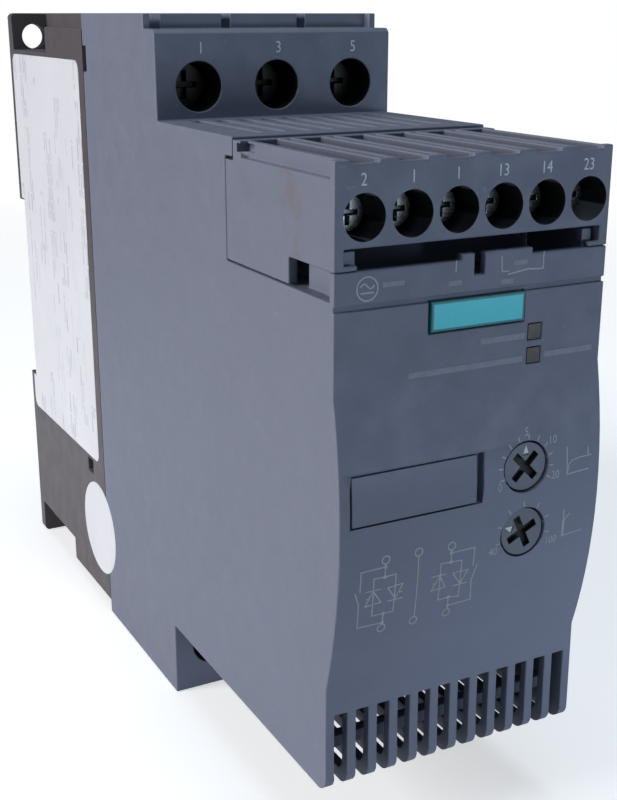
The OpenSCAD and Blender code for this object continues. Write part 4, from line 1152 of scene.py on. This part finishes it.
def soft_lamps():
    """Area lamps that aim at the middle of the object."""
    for name, place, width, tall, power, tint in LAMPS:
        light = bpy.data.lights.new(name, "AREA")
        light.shape = "RECTANGLE"
        light.size = width
        light.size_y = tall
        light.energy = power
        light.color = tint
        lamp = linked(name, light)
        lamp.location = place
        lamp.rotation_euler = (LAMP_AIM - Vector(place)).to_track_quat("-Z", "Y").to_euler()


def white_surround():
    """A world that the camera sees as white and that lights the object faintly."""
    world = bpy.data.worlds.new("surround")
    wiring = Wiring(world)
    soft = wiring.add("ShaderNodeBackground", {"Color": SKY_TINT, "Strength": SKY_STRENGTH})
    white = wiring.add("ShaderNodeBackground", {"Color": grey(1.0)})
    path = wiring.add("ShaderNodeLightPath")
    mix = wiring.add("ShaderNodeMixShader", {
        "Fac": path.outputs["Is Camera Ray"], 1: soft.outputs["Background"],
        2: white.outputs["Background"]})
    wiring.add("ShaderNodeOutputWorld", {"Surface": mix.outputs["Shader"]})
    bpy.context.scene.world = world


def photograph_camera():
    """The camera that was fitted to the photograph."""
    lens = bpy.data.cameras.new("photograph_view")
    lens.sensor_width = SENSOR_WIDTH
    lens.lens = FOCAL_LENGTH
    lens.clip_start = CLIP_START
    camera = linked("photograph_view", lens)
    camera.location = CAMERA_PLACE
    azimuth, rise = math.radians(CAMERA_AZIMUTH), math.radians(CAMERA_RISE)
    back = Vector((math.sin(azimuth) * math.cos(rise), -math.cos(azimuth) * math.cos(rise),
                   math.sin(rise)))
    camera.rotation_euler = (-back).to_track_quat("-Z", "Y").to_euler()
    bpy.context.scene.camera = camera


class STARTER_OT_stage(bpy.types.Operator):
    """Sets the pale floor, the soft lamps, the white surround and the camera"""

    bl_idname = "starter.stage"
    bl_label = "Stage"

    def execute(self, context):
        pale_floor()
        soft_lamps()
        white_surround()
        photograph_camera()
        bpy.context.scene.view_settings.view_transform = "Standard"
        return {"FINISHED"}


class STARTER_PT_panel(bpy.types.Panel):
    """Lists the pieces of the soft starter, in the order they are made"""

    bl_idname = "STARTER_PT_panel"
    bl_label = "Soft starter"
    bl_space_type = "VIEW_3D"
    bl_region_type = "UI"
    bl_category = "Soft starter"

    def draw(self, context):
        for group in (context.scene.starter_colours, context.scene.starter_sizes):
            box = self.layout.box()
            for key in group.__annotations__:
                box.prop(group, key)
        for step in STEPS:
            self.layout.operator(step.bl_idname)


STEPS = (
    STARTER_OT_hood, STARTER_OT_base, STARTER_OT_terminal_block, STARTER_OT_control_terminals,
    STARTER_OT_main_terminals, STARTER_OT_dials, STARTER_OT_plates, STARTER_OT_labels,
    STARTER_OT_windows, STARTER_OT_panel_print, STARTER_OT_terminal_numbers,
    STARTER_OT_inner_parts, STARTER_OT_stage,
)
CLASSES = (StarterColours, StarterSizes) + STEPS + (STARTER_PT_panel,)


def register():
    for item in CLASSES:
        bpy.utils.register_class(item)
    bpy.types.Scene.starter_colours = PointerProperty(type=StarterColours)
    bpy.types.Scene.starter_sizes = PointerProperty(type=StarterSizes)


def unregister():
    del bpy.types.Scene.starter_sizes
    del bpy.types.Scene.starter_colours
    for item in reversed(CLASSES):
        bpy.utils.unregister_class(item)


def main():
    register()
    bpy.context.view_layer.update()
    for step in STEPS:
        group, call = step.bl_idname.split(".")
        getattr(getattr(bpy.ops, group), call)()


if __name__ == "__main__":
    main()
